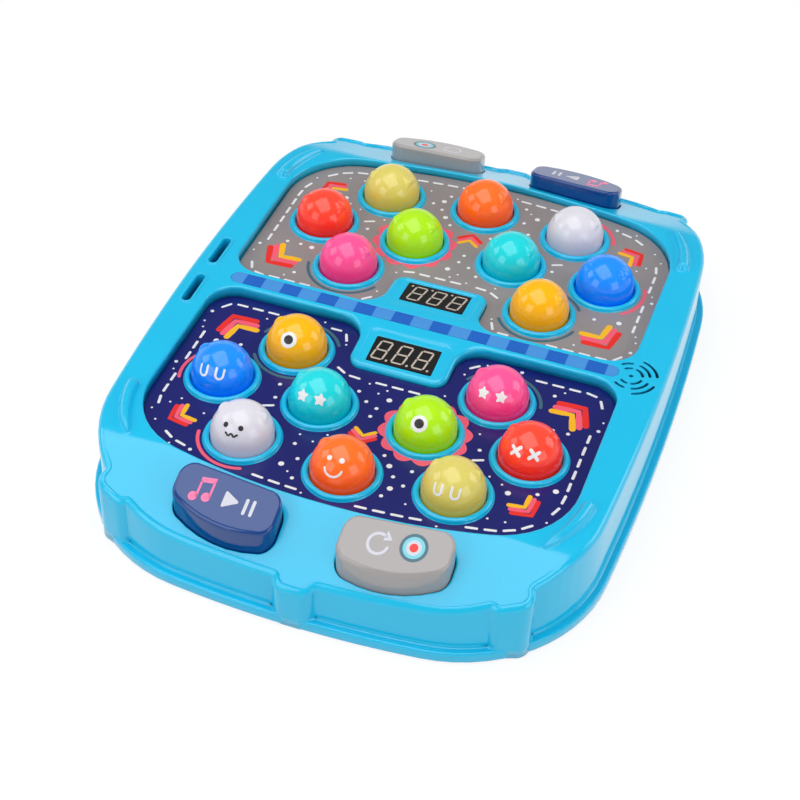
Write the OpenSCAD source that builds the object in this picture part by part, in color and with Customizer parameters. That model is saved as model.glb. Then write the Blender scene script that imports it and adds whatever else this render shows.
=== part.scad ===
// Two-player whack-a-mole game: a blue table-top housing with nine push-down moles for each player.
// Millimetres. The origin is on the table under the middle.
// +X goes to the near player's right and +Y to the far player.

/* [Housing] */
// Width over the base flange
body_w = 294; // [291:1:299]
// Length over the base flange
body_l = 388; // [386:1:392]
// Radius of the bowed long sides
side_bow_r = 1725; // [1650:25:1800]
// Radius of the bowed ends
end_bow_r = 597; // [590:1:604]
// Radius of the corners in plan
corner_r = 85; // [83:1:87]
// Moulded wall thickness
wall = 2.4; // [2:0.1:2.6]
// Height of the top of the base flange
flange_h = 7; // [6.6:0.1:8]
// Height of the flange's lower edge over the table
flange_lift = 0.8; // [0.5:0.1:1.2]
// How far the side walls stand in from the flange
ledge_w = 5; // [4.4:0.1:5.4]
// Height of the rails at the middle of the long sides
rail_peak_z = 50; // [49.5:0.1:51]
// Height of the rails where the button decks start
rail_end_z = 48.7; // [48.4:0.1:49]
// Distance from the body's end to the crease where the button deck starts
deck_run = 47; // [46:0.5:48]
// Slope of the button decks in degrees
deck_slope = 26.2; // [25.6:0.1:26.8]

/* [Columns and rim] */
// Width of the six upright columns on the end walls
column_w = 24; // [21:1:27]
// Distance of the corner columns from the body's side
column_inset = 38; // [36:1:40]
// Rounding of the columns' outer corners
column_round = 8; // [7.5:0.1:8.4]
// Hollow blend between a column and the wall
column_blend = 0.9; // [0.6:0.1:1.2]
// Width of the bead along the end rims
bead_w = 4; // [3.4:0.1:4.2]
// Height that the bead has gained at the outer end
bead_h = 2; // [1.4:0.1:2.4]

/* [Play panels] */
// Distance from the body's side to a panel's recess
rail_w = 26.5; // [25.5:0.5:27.5]
// Distance from the body's end to a panel's recess
recess_margin = 45; // [44.5:0.1:45.5]
// Radius of the bowed outer end of a recess
recess_bow_r = 400; // [380:5:420]
// Rounding of the outer corners of a recess
recess_outer_r = 44; // [42:1:46]
// Rounding of the inner corners of a recess
recess_inner_r = 17; // [15.5:0.5:18]
// Half of the width of the bar between the two recesses
bar_half_w = 8; // [7.4:0.1:8.6]
// Height of the recess floor
floor_z = 41.8; // [41.6:0.1:42]
// Thickness of the printed panels
panel_t = 1.2; // [0.8:0.1:1.4]
// Clearance round the panels and the other pieces that are dropped in
drop_in_gap = 0.25; // [0.2:0.05:0.4]
// Distance of the ends of the bar's chequered strip from the body's sides
strip_margin = 31.5; // [31.5:0.5:34]
// Width of the chequered strip
strip_w = 9; // [8:0.5:10]
// Thickness of the chequered strip
strip_t = 0.6; // [0.4:0.1:0.8]

/* [Moles] */
// Radius of a mole's dome
dome_r = 17; // [16.5:0.1:17.2]
// Height of the dome's widest circle
dome_mid_z = 47.5; // [47:0.1:48]
// Wall thickness of the domes
dome_wall = 1.6; // [1.3:0.1:2]
// Gap between a mole and the parts that guide it
dome_gap = 0.6; // [0.5:0.05:0.7]
// Width of the raised collars
collar_w = 3.4; // [3:0.1:3.6]
// Height of the collars over the panels
collar_h = 2.4; // [2:0.1:3]
// Radius of the flange that holds a mole in the housing
mole_flange_r = 19.6; // [19.2:0.1:19.8]
// Thickness of that flange
mole_flange_t = 2.1; // [1.6:0.1:2.4]
// Travel of a mole
mole_travel = 4; // [3:0.1:4.5]
// Gap between a held piece and the stop that it rests under
stop_gap = 0.3; // [0.25:0.05:0.4]

/* [Displays] */
// Width of a three-digit display module
display_w = 37.7; // [36:0.1:38.5]
// Depth of a display module
display_d = 19.05; // [18:0.05:20]
// Thickness of a display module
display_t = 8; // [7:0.1:8.4]
// How far the display's face lies under its frame
display_sink = 0.6; // [0.4:0.1:1]
// Tilt of the displays towards their players in degrees
display_tilt = 6; // [5:0.5:6.5]
// Distance from the middle to the centre of a display
display_y = 27; // [26.5:0.1:27.5]
// Half of the width of the display's boss
boss_half_w = 28.5; // [27.5:0.1:29.5]
// Distance from the middle to the front of the boss
boss_end = 42; // [41.4:0.1:43]
// Rounding of the boss's front corners
boss_round = 8; // [7:0.5:9]
// Hollow blend between the boss and the bar
boss_blend = 15; // [13:0.5:16]

/* [Buttons] */
// Distance from the middle line to a button's inner side
button_in = 16.5; // [15.5:0.1:17]
// Distance from the middle line to a button's outer side
button_out = 74.5; // [73.5:0.1:75]
// Distance from the body's end to a button's upper edge, at its inner end
button_back_in = 38.3; // [38:0.1:39]
// Distance from the body's end to a button's upper edge, at its outer end
button_back_out = 41.8; // [41.4:0.1:42.4]
// Distance from the body's end to the foremost point of a button
button_margin = 12.5; // [12.2:0.1:13]
// Radius of a button's bowed front edge
button_front_r = 67; // [65:1:70]
// Distance of the foremost point from the middle line
button_front_x = 38; // [37:0.5:39]
// Corner rounding of a button in plan
button_round = 8.5; // [8:0.1:9]
// Height of a button over its deck, at its middle
button_h = 12; // [11:0.1:13]
// Slope of the buttons' tops in degrees
button_slope = 20; // [19:0.5:22]
// Rounding of a button's top edge
button_edge = 2.6; // [2:0.1:3]
// Wall thickness of the buttons
button_wall = 2.2; // [1.8:0.1:2.6]
// Width of the lip that holds a button under its deck
button_lip = 1.6; // [1.2:0.1:2]
// Gap between a button and its opening
button_gap = 0.5; // [0.4:0.05:0.7]
// Travel of a button
button_travel = 1.5; // [1:0.1:1.6]

/* [Rails] */
// Distance from the middle to the centre of each storage slot
slot_y = 18.5; // [18:0.1:19]
// Length of a slot's opening
slot_l = 25; // [23:0.5:25]
// Width of a slot's opening
slot_w = 5.2; // [5:0.1:5.4]
// Width of the raised lip round a slot
slot_lip_w = 1.6; // [1.2:0.1:1.8]
// Height of the raised lip round a slot
slot_lip_h = 0.8; // [0.5:0.1:1.2]
// Depth of a slot's chute under the rail
slot_depth = 16; // [14:0.5:18]
// Radius of the sound holes' innermost ring
grille_r = 6.4; // [6:0.1:6.6]
// Step from one ring of sound holes to the next
grille_step = 4; // [3.6:0.1:4]
// Width of the sound holes
grille_w = 1.5; // [1.2:0.1:1.6]
// Height of the drop-shaped embossings on the corners
drop_h = 2.4; // [1.6:0.1:2.8]

/* [Electronics] */
// Height of the top of the two mole boards
board_z = 25.6; // [25:0.1:25.8]
// Thickness of the circuit boards
board_t = 1.6; // [1.2:0.1:1.6]
// Radius of the lights under the moles
light_r = 2.5; // [2.4:0.1:2.6]
// Width of a button's switch
switch_w = 8; // [7:0.1:9]
// Height of a button's switch
switch_h = 5; // [4.4:0.1:5.4]
// Radius of the loudspeaker
speaker_r = 11.3; // [10.5:0.1:11.4]
// Thickness of the loudspeaker
speaker_t = 6; // [5:0.1:7]
// Radius of a battery cell
cell_r = 7.15; // [7:0.05:7.25]
// Length of a battery cell with its nub
cell_l = 50; // [49:0.1:50.5]
// Spacing of the battery cells
cell_pitch = 15; // [14.8:0.1:15.4]
// Thickness of the base cover
base_t = 2.4; // [2.2:0.1:2.6]
// Radius of the rubber feet
foot_r = 9; // [7:0.5:10]
// Travel of the power switch
power_travel = 4; // [3:0.1:4.5]

/* [Hidden] */
$fn = 48;
BIG = 256;
// Overlap of pieces that are fused
SPILL = 0.5;
// Round corners stand this far over the edges that they touch, so that no sliver is left between them
SEAM = 0.02;

COLOURS = ["blue", "gold", "teal", "white", "orange", "lime", "pink", "red", "olive"];
TINTS = [[0.04, 0.5, 0.98], [0.93, 0.66, 0.06], [0.08, 0.76, 0.8], [0.84, 0.83, 0.87], [0.98, 0.36, 0.06],
         [0.62, 0.87, 0.05], [0.93, 0.22, 0.5], [0.98, 0.18, 0.1], [0.8, 0.73, 0.34]];
HALVES = ["near", "far"];
SIDES = ["left", "right"];
HOUSING_BLUE = [0.16, 0.74, 0.91];
BUTTON_NAVY = [0.17, 0.29, 0.53];
BUTTON_GREY = [0.68, 0.65, 0.63];

half_w = body_w / 2;
half_l = body_l / 2;
side_c = half_w - side_bow_r;
end_c = half_l - end_bow_r;
crease_y = half_l - deck_run;
deck_k = tan(deck_slope);
skin = wall * 1.1;
column_tilt = asin((half_w - column_inset - corner_centre()[0]) / corner_r);
floor_under = floor_z - wall;
panel_z = floor_z + panel_t;
recess_half_w = half_w - rail_w;
recess_end = half_l - recess_margin;
recess_c = recess_end - recess_bow_r;
rail_x = (recess_half_w + half_w - ledge_w) / 2;
strip_l = body_w - 2 * strip_margin;
recess_corner_x = recess_half_w - recess_outer_r;
recess_corner_y = recess_c + sqrt(pow(recess_bow_r - recess_outer_r, 2) - pow(recess_corner_x, 2));

// The places in the recesses are drawn for a recess of this half width and end, and fitted to the real one
DRAWN_RECESS = [120.5, 149];
function fitted(places) =
    [for (p = places) [p[0] * recess_half_w / DRAWN_RECESS[0], p[1] * recess_end / DRAWN_RECESS[1]]];
// Mole places on the near half, in the order of the colours; the far half is turned by half a turn
MOLE_PLACES = fitted([[-87.8, -76], [-58.6, -40], [-30.2, -77.1], [-58.7, -115.3], [0, -121.4],
                      [30.2, -77.1], [58.6, -40], [87.8, -76], [58.7, -115.3]]);
// Posts that carry a mole board, on the near half
BOARD_POSTS = fitted([[0, -56], [-97, -38], [97, -38], [-96, -113], [96, -113]]);
// Places of the rubber feet on one corner and one side
FEET_PLACES = [[half_w - 35, half_l - 76], [half_w - 25, 0]];

// Drops on the corners: places and radii of the head and the tail
drop_head = [recess_half_w + 5.5, crease_y - 40.5];
drop_head_r = 4.6;
drop_tail = [recess_half_w - 6, crease_y - 6.5];
drop_tail_r = 1.2;

// Sound holes: angle from the rail, sweep and number of rings of each fan
GRILLE_FANS = [[45, 62, 3], [112, 36, 2]];
grille_eye_r = 1.2;

// Moles, their collars, guides and rubber cups
bore_r = dome_r + dome_gap;
collar_r = bore_r + collar_w;
collar_top = panel_z + collar_h;
mole_low = floor_under - stop_gap - mole_flange_t;
mole_seat_r = 13.5;
guide_r = mole_flange_r + dome_gap;
guide_wall = 1.6;
guide_low = mole_low - mole_travel - 2;
cup_top = mole_low - 0.2;
cup_wall = 1.3;

// Displays
boss_top_z = rail_peak_z - 0.4;

// Buttons: corner centres on the far right one, and its stem over the switch
button_k = tan(button_slope);
button_mid_y = half_l - (button_margin + button_back_in) / 2;
front_c = [button_front_x, half_l - button_margin - button_front_r];
button_x = [button_in + button_round, button_out - button_round];
button_low = [for (x = button_x)
    [x, front_c[1] + sqrt(pow(button_front_r - button_round, 2) - pow(x - front_c[0], 2))]];
button_up = [[button_x[0], half_l - button_back_in + button_round],
             [button_x[1], half_l - button_back_out + button_round]];
stem_place = [(button_in + button_out) / 2, half_l - 31.5];
stem_r = 3.2;
tip_r = 1.6;
tip_gap = 0.3;
switch_top = board_z + switch_h;

// Base, battery bay and screws
ledge_under = flange_h - wall;
base_low = ledge_under - base_t;
screw_post_r = 4.2;
screw_r = 1.45;
screw_head_r = 2.9;
screw_head_h = 1.5;
screw_gap = 0.2;
rail_screw_y = 0.5 * crease_y;
deck_screw = [half_w - 47, crease_y + 9];
tip_screw_y = half_l - ledge_w - wall - 10.6;
board_post_r = 3.2;
board_half_w = recess_half_w - 12.5;
board_y = [30, recess_end - 19.5];
board_tongue_half_w = button_out + 5.5;
board_tongue_y = [60, half_l - 26.5];
grille_x = recess_half_w + 2;
speaker_top = rail_peak_z - skin - 0.7;
bay_w = cell_l + 5.6;
bay_d = 3 * cell_pitch + 1;
bay_h = 2 * cell_r + 0.8;
bay_wall = 1.6;
door_lap = [8, 3];
door_t = base_t / 2;
door_screw_x = bay_w / 2 + 4.4;
cell_z = ledge_under + cell_r + 0.2;
contact_t = 0.5;
contact_w = 1.4 * cell_r;
power_place = [-76, 0];
knob = [6, 5];
knob_flange = [16, 9, 1.2];
slide_gap = 0.1;

function unit(v) = v / norm(v);
// Crossing of two circles, on the right of the way from the first centre to the second
function crossing(a, ra, b, rb) =
    let (d = norm(b - a), e = unit(b - a))
    let (u = (ra * ra - rb * rb + d * d) / (2 * d), h = sqrt(ra * ra - u * u))
    a + u * e + h * [e[1], -e[0]];
// The corner arc touches the side arc and the end arc, so its centre is where two inner arcs cross
function corner_centre() = crossing([0, end_c], end_bow_r - corner_r, [side_c, 0], side_bow_r - corner_r);
function deck_z(y) = rail_end_z - (y - crease_y) * deck_k;
function button_top_z(y) = deck_z(button_mid_y) + button_h - (y - button_mid_y) * button_k;

module both_ends() {
    children();
    rotate(180) children();
}

module four_corners() {
    for (mx = [0, 1], my = [0, 1]) mirror([mx, 0, 0]) mirror([0, my, 0]) children();
}

module at_half(half) {
    rotate(half == "near" ? 180 : 0) children();
}

module every_mole() {
    both_ends() for (p = MOLE_PLACES) translate(p) children();
}

// Plan of the base flange, drawn in by an inset
module outline(inset) {
    centre = corner_centre();
    u = unit(centre - [side_c, 0]);
    v = unit(centre - [0, end_c]);
    reach = corner_r * 2;
    difference() {
        intersection() {
            translate([side_c, 0]) circle(side_bow_r - inset, $fn = BIG);
            translate([-side_c, 0]) circle(side_bow_r - inset, $fn = BIG);
            translate([0, end_c]) circle(end_bow_r - inset, $fn = BIG);
            translate([0, -end_c]) circle(end_bow_r - inset, $fn = BIG);
        }
        four_corners() polygon([centre, centre + reach * u, centre + reach * (u + v), centre + reach * v]);
    }
    four_corners() translate(centre) circle(corner_r - inset + SEAM, $fn = 96);
}

// Plan of one column, its face on the X axis and its foot towards -Y.
// The bow is the flange's radius where the column stands.
module column_plan(inset, bow) {
    core = column_w / 2 - column_round;
    foot = ledge_w + wall + 4;
    translate([-core, -foot]) square([2 * core, foot - inset]);
    for (s = [0, 1]) mirror([s, 0]) {
        round_c = [core, -column_round];
        wall_c = [0, -bow];
        blend_c = crossing(wall_c, bow - ledge_w + column_blend, round_c, column_round + column_blend);
        low = blend_c - (column_blend + inset + 1) * unit(blend_c - wall_c);
        translate(round_c) circle(column_round - inset);
        difference() {
            polygon([round_c, blend_c, low, [core - SPILL, low[1] - 1], [core - SPILL, round_c[1]]]);
            translate(blend_c) circle(column_blend + inset + SEAM);
        }
    }
}

module wall_plan(inset) {
    outline(ledge_w + inset);
    both_ends() translate([0, half_l]) column_plan(inset, end_bow_r);
    four_corners() translate(corner_centre()) rotate(-column_tilt) translate([0, corner_r])
        column_plan(inset, corner_r);
}

// Everything under the rails and decks, raised by a height, with the decks lifted towards their ends
module under_top(raise, end_lift = 0) {
    far = half_l + 20;
    low = deck_z(far) + raise + end_lift * (far - crease_y) / (half_l - crease_y);
    rotate([90, 0, 90]) linear_extrude(body_w + 20, center = true) polygon([
        [-far, -5], [-far, low], [-crease_y, rail_end_z + raise], [0, rail_peak_z + raise],
        [crease_y, rail_end_z + raise], [far, low], [far, -5]]);
}

// Plan of the far recess without the display's boss
module recess_pan(inset) {
    w = recess_half_w - inset;
    tilt = unit([recess_corner_x, recess_corner_y - recess_c]);
    reach = 2 * recess_bow_r;
    inner_x = recess_half_w - recess_inner_r;
    inner_y = bar_half_w + recess_inner_r;
    translate([-w, inner_y]) square([2 * w, recess_corner_y - inner_y]);
    translate([-inner_x, bar_half_w + inset]) square([2 * inner_x, recess_inner_r + SPILL]);
    for (s = [-1, 1]) {
        translate([s * inner_x, inner_y]) circle(recess_inner_r - inset + SEAM);
        translate([s * recess_corner_x, recess_corner_y]) circle(recess_outer_r - inset + SEAM, $fn = 96);
    }
    intersection() {
        translate([0, recess_c]) circle(recess_bow_r - inset, $fn = BIG);
        translate([0, recess_c]) polygon([[0, 0], reach * tilt, [-reach * tilt[0], reach * tilt[1]]]);
        translate([-body_w, inner_y]) square([2 * body_w, body_l]);
    }
}

// Plan of the far display's boss, grown by the inset of the recess round it
module boss_plan(inset) {
    w = boss_half_w + inset;
    r = boss_round + inset;
    start = bar_half_w + inset;
    straight = boss_end - boss_round;
    blend = boss_blend - inset;
    translate([-w, start - 2]) square([2 * w, straight - start + 2]);
    translate([-w + r, start - 2]) square([2 * (w - r), boss_end + inset - start + 2]);
    for (s = [-1, 1]) translate([s * (w - r), straight]) circle(r);
    for (s = [0, 1]) mirror([s, 0]) difference() {
        translate([w - SPILL, start - 2]) square([blend + SPILL, blend + 2]);
        translate([w + blend, start + blend]) circle(blend + SEAM);
    }
}

module recess_plan(inset) {
    difference() {
        recess_pan(inset);
        boss_plan(inset);
    }
}

// Frame of the far display: X along its width, Y down its tilt, Z out of its face, origin on the bar's edge
module display_frame() {
    translate([0, bar_half_w, boss_top_z]) rotate([-display_tilt, 0, 0]) children();
}

module display_slab(low, high) {
    display_frame() translate([-body_w / 4, -6, low]) cube([body_w / 2, 2 * boss_end, high - low]);
}

// A block centred on the far display, from a depth under its frame upwards
module display_block(grow, depth, height) {
    display_frame() translate([0, (display_y - bar_half_w) / cos(display_tilt), -depth])
        linear_extrude(height) square([display_w + 2 * grow, display_d + 2 * grow], center = true);
}

// Plan of the far right button, grown outwards
module button_plan(grow) {
    r = button_round + grow;
    reach = 2 * button_round;
    out = [for (c = button_low) c + reach * unit(c - front_c)];
    along = unit(button_up[1] - button_up[0]);
    up = r * [along[1], -along[0]];
    intersection() {
        polygon([out[0], button_low[0], button_up[0], button_up[1], button_low[1], out[1]]);
        translate(front_c) circle(button_front_r + grow, $fn = BIG);
    }
    polygon([button_up[0], button_up[0] + up, button_up[1] + up, button_up[1]]);
    for (i = [0, 1]) {
        side = [(2 * i - 1) * r, 0];
        polygon([button_up[i], button_up[i] + side, button_low[i] + side, button_low[i]]);
        translate(button_low[i]) circle(r + SEAM);
        translate(button_up[i]) circle(r + SEAM);
    }
}

// A thin slice of a button, cut at a slope k with a height z over the middle of the housing
module button_slice(grow, k, z) {
    multmatrix([[1, 0, 0, 0], [0, 1, 0, 0], [0, -k, 1, z], [0, 0, 0, 1]])
        linear_extrude(0.02) button_plan(grow, $fn = 32);
}

// Everything under the plane of a far button's top, drawn down by a depth
module under_button(depth) {
    far = half_l + 20;
    rotate([90, 0, 90]) linear_extrude(body_w, center = true)
        polygon([[0, -5], [0, button_top_z(0) - depth], [far, button_top_z(far) - depth], [far, -5]]);
}

// Drop outline from a round head to a narrow tail, with the straight sides tangent to both circles
module drop_plan(head, head_r, tail, tail_r) {
    along = unit(tail - head);
    across = [-along[1], along[0]];
    k = (head_r - tail_r) / norm(tail - head);
    m = sqrt(1 - k * k);
    polygon(concat([for (s = [1, -1]) head + head_r * (k * along + s * m * across)],
                   [for (s = [-1, 1]) tail + tail_r * (k * along + s * m * across)]));
    translate(head) circle(head_r + SEAM);
    translate(tail) circle(tail_r + SEAM);
}

module corner_drops() {
    intersection() {
        linear_extrude(rail_peak_z) four_corners() drop_plan(drop_head, drop_head_r, drop_tail, drop_tail_r);
        under_top(drop_h);
    }
}

module slot_plan(grow) {
    run = slot_l / 2 - slot_w / 2;
    for (s = [-1, 1]) translate([-rail_x, s * slot_y]) {
        translate([-slot_w / 2 - grow, -run]) square([slot_w + 2 * grow, 2 * run]);
        for (e = [-1, 1]) translate([0, e * run]) circle(slot_w / 2 + grow);
    }
}

module grille_arc(r, middle, sweep) {
    ways = [for (turn = [-sweep / 2, 0, sweep / 2]) middle + turn];
    intersection() {
        difference() {
            circle(r + grille_w / 2);
            circle(r - grille_w / 2);
        }
        polygon(concat([[0, 0]], [for (a = ways) 2 * r * [cos(a), sin(a)]]));
    }
}

// Ring-shaped sound holes in four fans: three rings towards the rail, two towards the bar
module grille_plan() {
    circle(grille_eye_r);
    for (fan = GRILLE_FANS, k = [0:fan[2] - 1], s = [-1, 1])
        grille_arc(grille_r + k * grille_step, s * fan[0], fan[1]);
}

module strip_plan(grow) {
    run = strip_l / 2 - strip_w / 2;
    translate([-run, -strip_w / 2 - grow]) square([2 * run, strip_w + 2 * grow]);
    for (s = [-1, 1]) translate([s * run, 0]) circle(strip_w / 2 + grow);
}

module housing_screw_plan(r) {
    four_corners() {
        translate([rail_x - 1, rail_screw_y]) circle(r);
        translate(deck_screw) circle(r);
    }
    both_ends() translate([0, tip_screw_y]) circle(r);
}

module board_screw_plan(r) {
    both_ends() for (p = BOARD_POSTS) translate(p) circle(r);
}

// The collar on a panel and the guide under it, round one mole
module collar_ring() {
    crown = collar_w / 2 + 0.1;
    rotate_extrude() {
        translate([bore_r - SPILL, floor_under]) square([collar_w + SPILL, collar_top - crown - floor_under]);
        translate([collar_r - crown, collar_top - crown]) circle(crown);
        translate([guide_r, guide_low]) square([guide_wall, floor_under + SPILL - guide_low]);
    }
}

module shell_skin() {
    difference() {
        union() {
            translate([0, 0, flange_lift]) linear_extrude(flange_h - flange_lift) outline(0);
            intersection() {
                translate([0, 0, flange_lift]) linear_extrude(rail_peak_z) wall_plan(0);
                under_top(0);
            }
            intersection() {
                translate([0, 0, flange_h]) linear_extrude(rail_peak_z) difference() {
                    wall_plan(0);
                    wall_plan(bead_w);
                }
                under_top(0, bead_h);
            }
            corner_drops();
        }
        translate([0, 0, -1]) linear_extrude(ledge_under + 1) outline(wall);
        intersection() {
            translate([0, 0, -1]) linear_extrude(rail_peak_z) outline(ledge_w + wall);
            under_top(-skin);
        }
    }
}

// Floors and walls of the two recesses and the skin of the display bosses
module recess_trays() {
    intersection() {
        translate([0, 0, floor_under]) linear_extrude(rail_peak_z) both_ends() recess_plan(-wall);
        under_top(0);
    }
    both_ends() intersection() {
        translate([0, 0, floor_under]) linear_extrude(rail_peak_z) boss_plan(0);
        display_slab(-skin, 0);
    }
}

// Posts, chutes and frames under the skin
module shell_inner_works() {
    intersection() {
        union() {
            translate([0, 0, ledge_under]) linear_extrude(rail_peak_z) housing_screw_plan(screw_post_r);
            translate([0, 0, rail_peak_z - slot_depth]) linear_extrude(slot_depth) slot_plan(1.4);
            translate([grille_x, 0, speaker_top - speaker_t]) cylinder(r = speaker_r + 1.8, h = rail_peak_z);
            both_ends() display_block(2, display_t + 1, display_t);
        }
        under_top(-SPILL);
    }
    translate([0, 0, board_z]) linear_extrude(floor_under + SPILL - board_z) board_screw_plan(board_post_r);
}

module slot_lips() {
    intersection() {
        linear_extrude(rail_peak_z + 5) slot_plan(slot_lip_w);
        difference() {
            under_top(slot_lip_h);
            under_top(-skin);
        }
    }
}

module top_shell() {
    color(HOUSING_BLUE) difference() {
        union() {
            difference() {
                union() {
                    shell_skin();
                    recess_trays();
                    shell_inner_works();
                    slot_lips();
                }
                translate([0, 0, floor_z]) linear_extrude(rail_peak_z) both_ends() recess_plan(0);
                both_ends() intersection() {
                    translate([0, 0, floor_z]) linear_extrude(rail_peak_z) boss_plan(0);
                    display_slab(0, 20);
                }
            }
            every_mole() collar_ring();
        }
        every_mole() translate([0, 0, floor_under - 1]) cylinder(r = bore_r, h = rail_peak_z);
        both_ends() display_block(drop_in_gap, display_t + 2, 2 * display_t);
        linear_extrude(rail_peak_z + 5) slot_plan(0);
        translate([grille_x, 0, speaker_top - 1]) linear_extrude(20) grille_plan();
        translate([grille_x, 0, 10]) cylinder(r = speaker_r + drop_in_gap, h = speaker_top + stop_gap - 10);
        translate([0, 0, rail_peak_z - 0.2 - strip_t]) linear_extrude(5) strip_plan(drop_in_gap);
        four_corners() translate([0, 0, flange_h]) linear_extrude(rail_peak_z) button_plan(button_gap);
        translate([0, 0, -1]) linear_extrude(ledge_under + 12) housing_screw_plan(screw_r + screw_gap);
        translate([0, 0, board_z - 1]) linear_extrude(10) board_screw_plan(screw_r + screw_gap);
    }
}

// A box open towards the base cover's underside, with room for the cells
module battery_bay() {
    box = [bay_w + 2 * bay_wall, bay_d + 2 * bay_wall, bay_h + bay_wall];
    translate([-box[0] / 2, -box[1] / 2, ledge_under]) cube(box);
    translate([door_screw_x, 0, ledge_under]) cylinder(r = screw_post_r - 0.6, h = 9);
}

// Two hooked rails that hold the power switch's knob on the base cover
module power_rails() {
    l = knob_flange[0] + power_travel + 4;
    w = knob_flange[1] / 2 + slide_gap;
    h = knob_flange[2] + 2 * slide_gap;
    translate([power_place[0] - l / 2, power_place[1], ledge_under]) for (s = [0, 1]) mirror([0, s, 0]) {
        translate([0, w, 0]) cube([l, 1.6, h + 1]);
        translate([0, w - 1.2, h]) cube([l, 2.8, 1]);
    }
}

module base_cover() {
    color(HOUSING_BLUE * 0.8) difference() {
        union() {
            translate([0, 0, base_low]) linear_extrude(base_t) outline(wall + drop_in_gap);
            battery_bay();
            power_rails();
        }
        translate([-bay_w / 2, -bay_d / 2, base_low - 1]) cube([bay_w, bay_d, base_t + bay_h + 1]);
        translate([-bay_w / 2 - door_lap[0], -bay_d / 2 - door_lap[1], base_low - 1])
            cube([bay_w + 2 * door_lap[0], bay_d + 2 * door_lap[1], 1 + door_t]);
        translate([door_screw_x, 0, base_low]) cylinder(r = screw_r + screw_gap, h = 9);
        translate([0, 0, base_low - 1]) linear_extrude(base_t + 2) housing_screw_plan(screw_r + screw_gap);
        translate([0, 0, base_low - 1]) linear_extrude(1 + screw_head_h)
            housing_screw_plan(screw_head_r + screw_gap);
        translate([power_place[0], power_place[1], flange_h / 2])
            cube([knob[0] + power_travel + 1, knob[1] + 0.6, flange_h], center = true);
    }
}

module panel(half, tint) {
    color(tint) translate([0, 0, floor_z]) linear_extrude(panel_t) difference() {
        at_half(half) recess_plan(drop_in_gap);
        at_half(half == "near" ? "far" : "near") for (p = MOLE_PLACES) translate(p)
            circle(collar_r + drop_in_gap);
    }
}

module centre_strip() {
    color([0.2, 0.5, 0.86]) translate([0, 0, rail_peak_z - 0.2 - strip_t])
        linear_extrude(strip_t) strip_plan(0);
}

module display(half) {
    color([0.05, 0.05, 0.06]) at_half(half) display_block(0, display_t + display_sink, display_t);
}

// Each mole: a hollow dome on a skirt, with a flange that stops under the recess floor
module mole(place, tint) {
    color(tint) translate(place) rotate_extrude() intersection() {
        difference() {
            union() {
                translate([0, dome_mid_z]) circle(dome_r, $fn = 72);
                translate([0, mole_low]) square([dome_r, dome_mid_z - mole_low]);
                translate([0, mole_low]) square([mole_flange_r, mole_flange_t]);
            }
            translate([0, dome_mid_z]) circle(dome_r - dome_wall, $fn = 72);
            translate([0, mole_low + mole_flange_t]) square([dome_r - dome_wall, dome_mid_z - mole_low]);
            translate([0, mole_low - 1]) square([mole_seat_r, mole_flange_t + 2]);
        }
        translate([0, mole_low]) square([2 * dome_r, 2 * dome_r]);
    }
}

// Each silicone cup: a foot ring on the board, a thin cone and a rim under the mole's flange
module cup(place) {
    foot_r = mole_flange_r - 1.2;
    rim_r = mole_seat_r + 2.7;
    foot_top = board_z + 1.4;
    rim_low = cup_top - 2.2;
    color([0.82, 0.83, 0.85]) translate(place) rotate_extrude() polygon([
        [foot_r - 3.2, board_z], [foot_r, board_z], [foot_r, foot_top], [foot_r - 1, foot_top],
        [rim_r, rim_low], [rim_r, cup_top], [mole_seat_r, cup_top], [mole_seat_r, rim_low],
        [rim_r - cup_wall, rim_low - 0.6], [foot_r - 1 - cup_wall, foot_top]]);
}

module board(half) {
    color([0.1, 0.36, 0.2]) translate([0, 0, board_z - board_t]) linear_extrude(board_t) difference() {
        at_half(half) {
            translate([-board_half_w, board_y[0]]) square([2 * board_half_w, board_y[1] - board_y[0]]);
            translate([-board_tongue_half_w, board_tongue_y[0]])
                square([2 * board_tongue_half_w, board_tongue_y[1] - board_tongue_y[0]]);
        }
        board_screw_plan(screw_r + screw_gap);
    }
}

// A button: a hollow cap with a rounded top edge, a lip under the deck and a stem down to its switch
module button(side_flip, half_flip, tint) {
    steps = [0, 30, 60, 90];
    lip_low = skin + stop_gap + button_lip;
    color(tint) mirror([side_flip, 0, 0]) mirror([0, half_flip, 0]) {
        difference() {
            union() {
                hull() {
                    button_slice(0, deck_k, deck_z(0) - lip_low);
                    for (a = steps)
                        button_slice(-button_edge * (1 - cos(a)), button_k,
                                     button_top_z(0) - button_edge * (1 - sin(a)));
                }
                intersection() {
                    linear_extrude(rail_peak_z) button_plan(button_lip);
                    difference() {
                        under_top(-skin - stop_gap);
                        under_top(-lip_low);
                    }
                }
            }
            intersection() {
                linear_extrude(2 * rail_peak_z) button_plan(-button_wall);
                under_button(button_wall);
            }
        }
        intersection() {
            translate(stem_place) {
                translate([0, 0, switch_top + button_travel + tip_gap]) cylinder(r = stem_r, h = rail_peak_z);
                translate([0, 0, switch_top - 1]) cylinder(r = tip_r, h = rail_peak_z);
            }
            under_button(SPILL);
        }
    }
}

module button_switches() {
    color([0.12, 0.12, 0.13]) four_corners() translate(stem_place) translate([0, 0, board_z]) difference() {
        translate([-switch_w / 2, -switch_w / 2, 0]) cube([switch_w, switch_w, switch_h]);
        translate([0, 0, 1]) cylinder(r = tip_r + tip_gap, h = switch_h);
    }
}

module mole_lights() {
    color([0.95, 0.95, 0.9]) every_mole() translate([0, 0, board_z]) {
        cylinder(r = 1.16 * light_r, h = 0.4 * light_r);
        cylinder(r = light_r, h = 1.6 * light_r);
        translate([0, 0, 1.6 * light_r]) sphere(light_r);
    }
}

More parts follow.
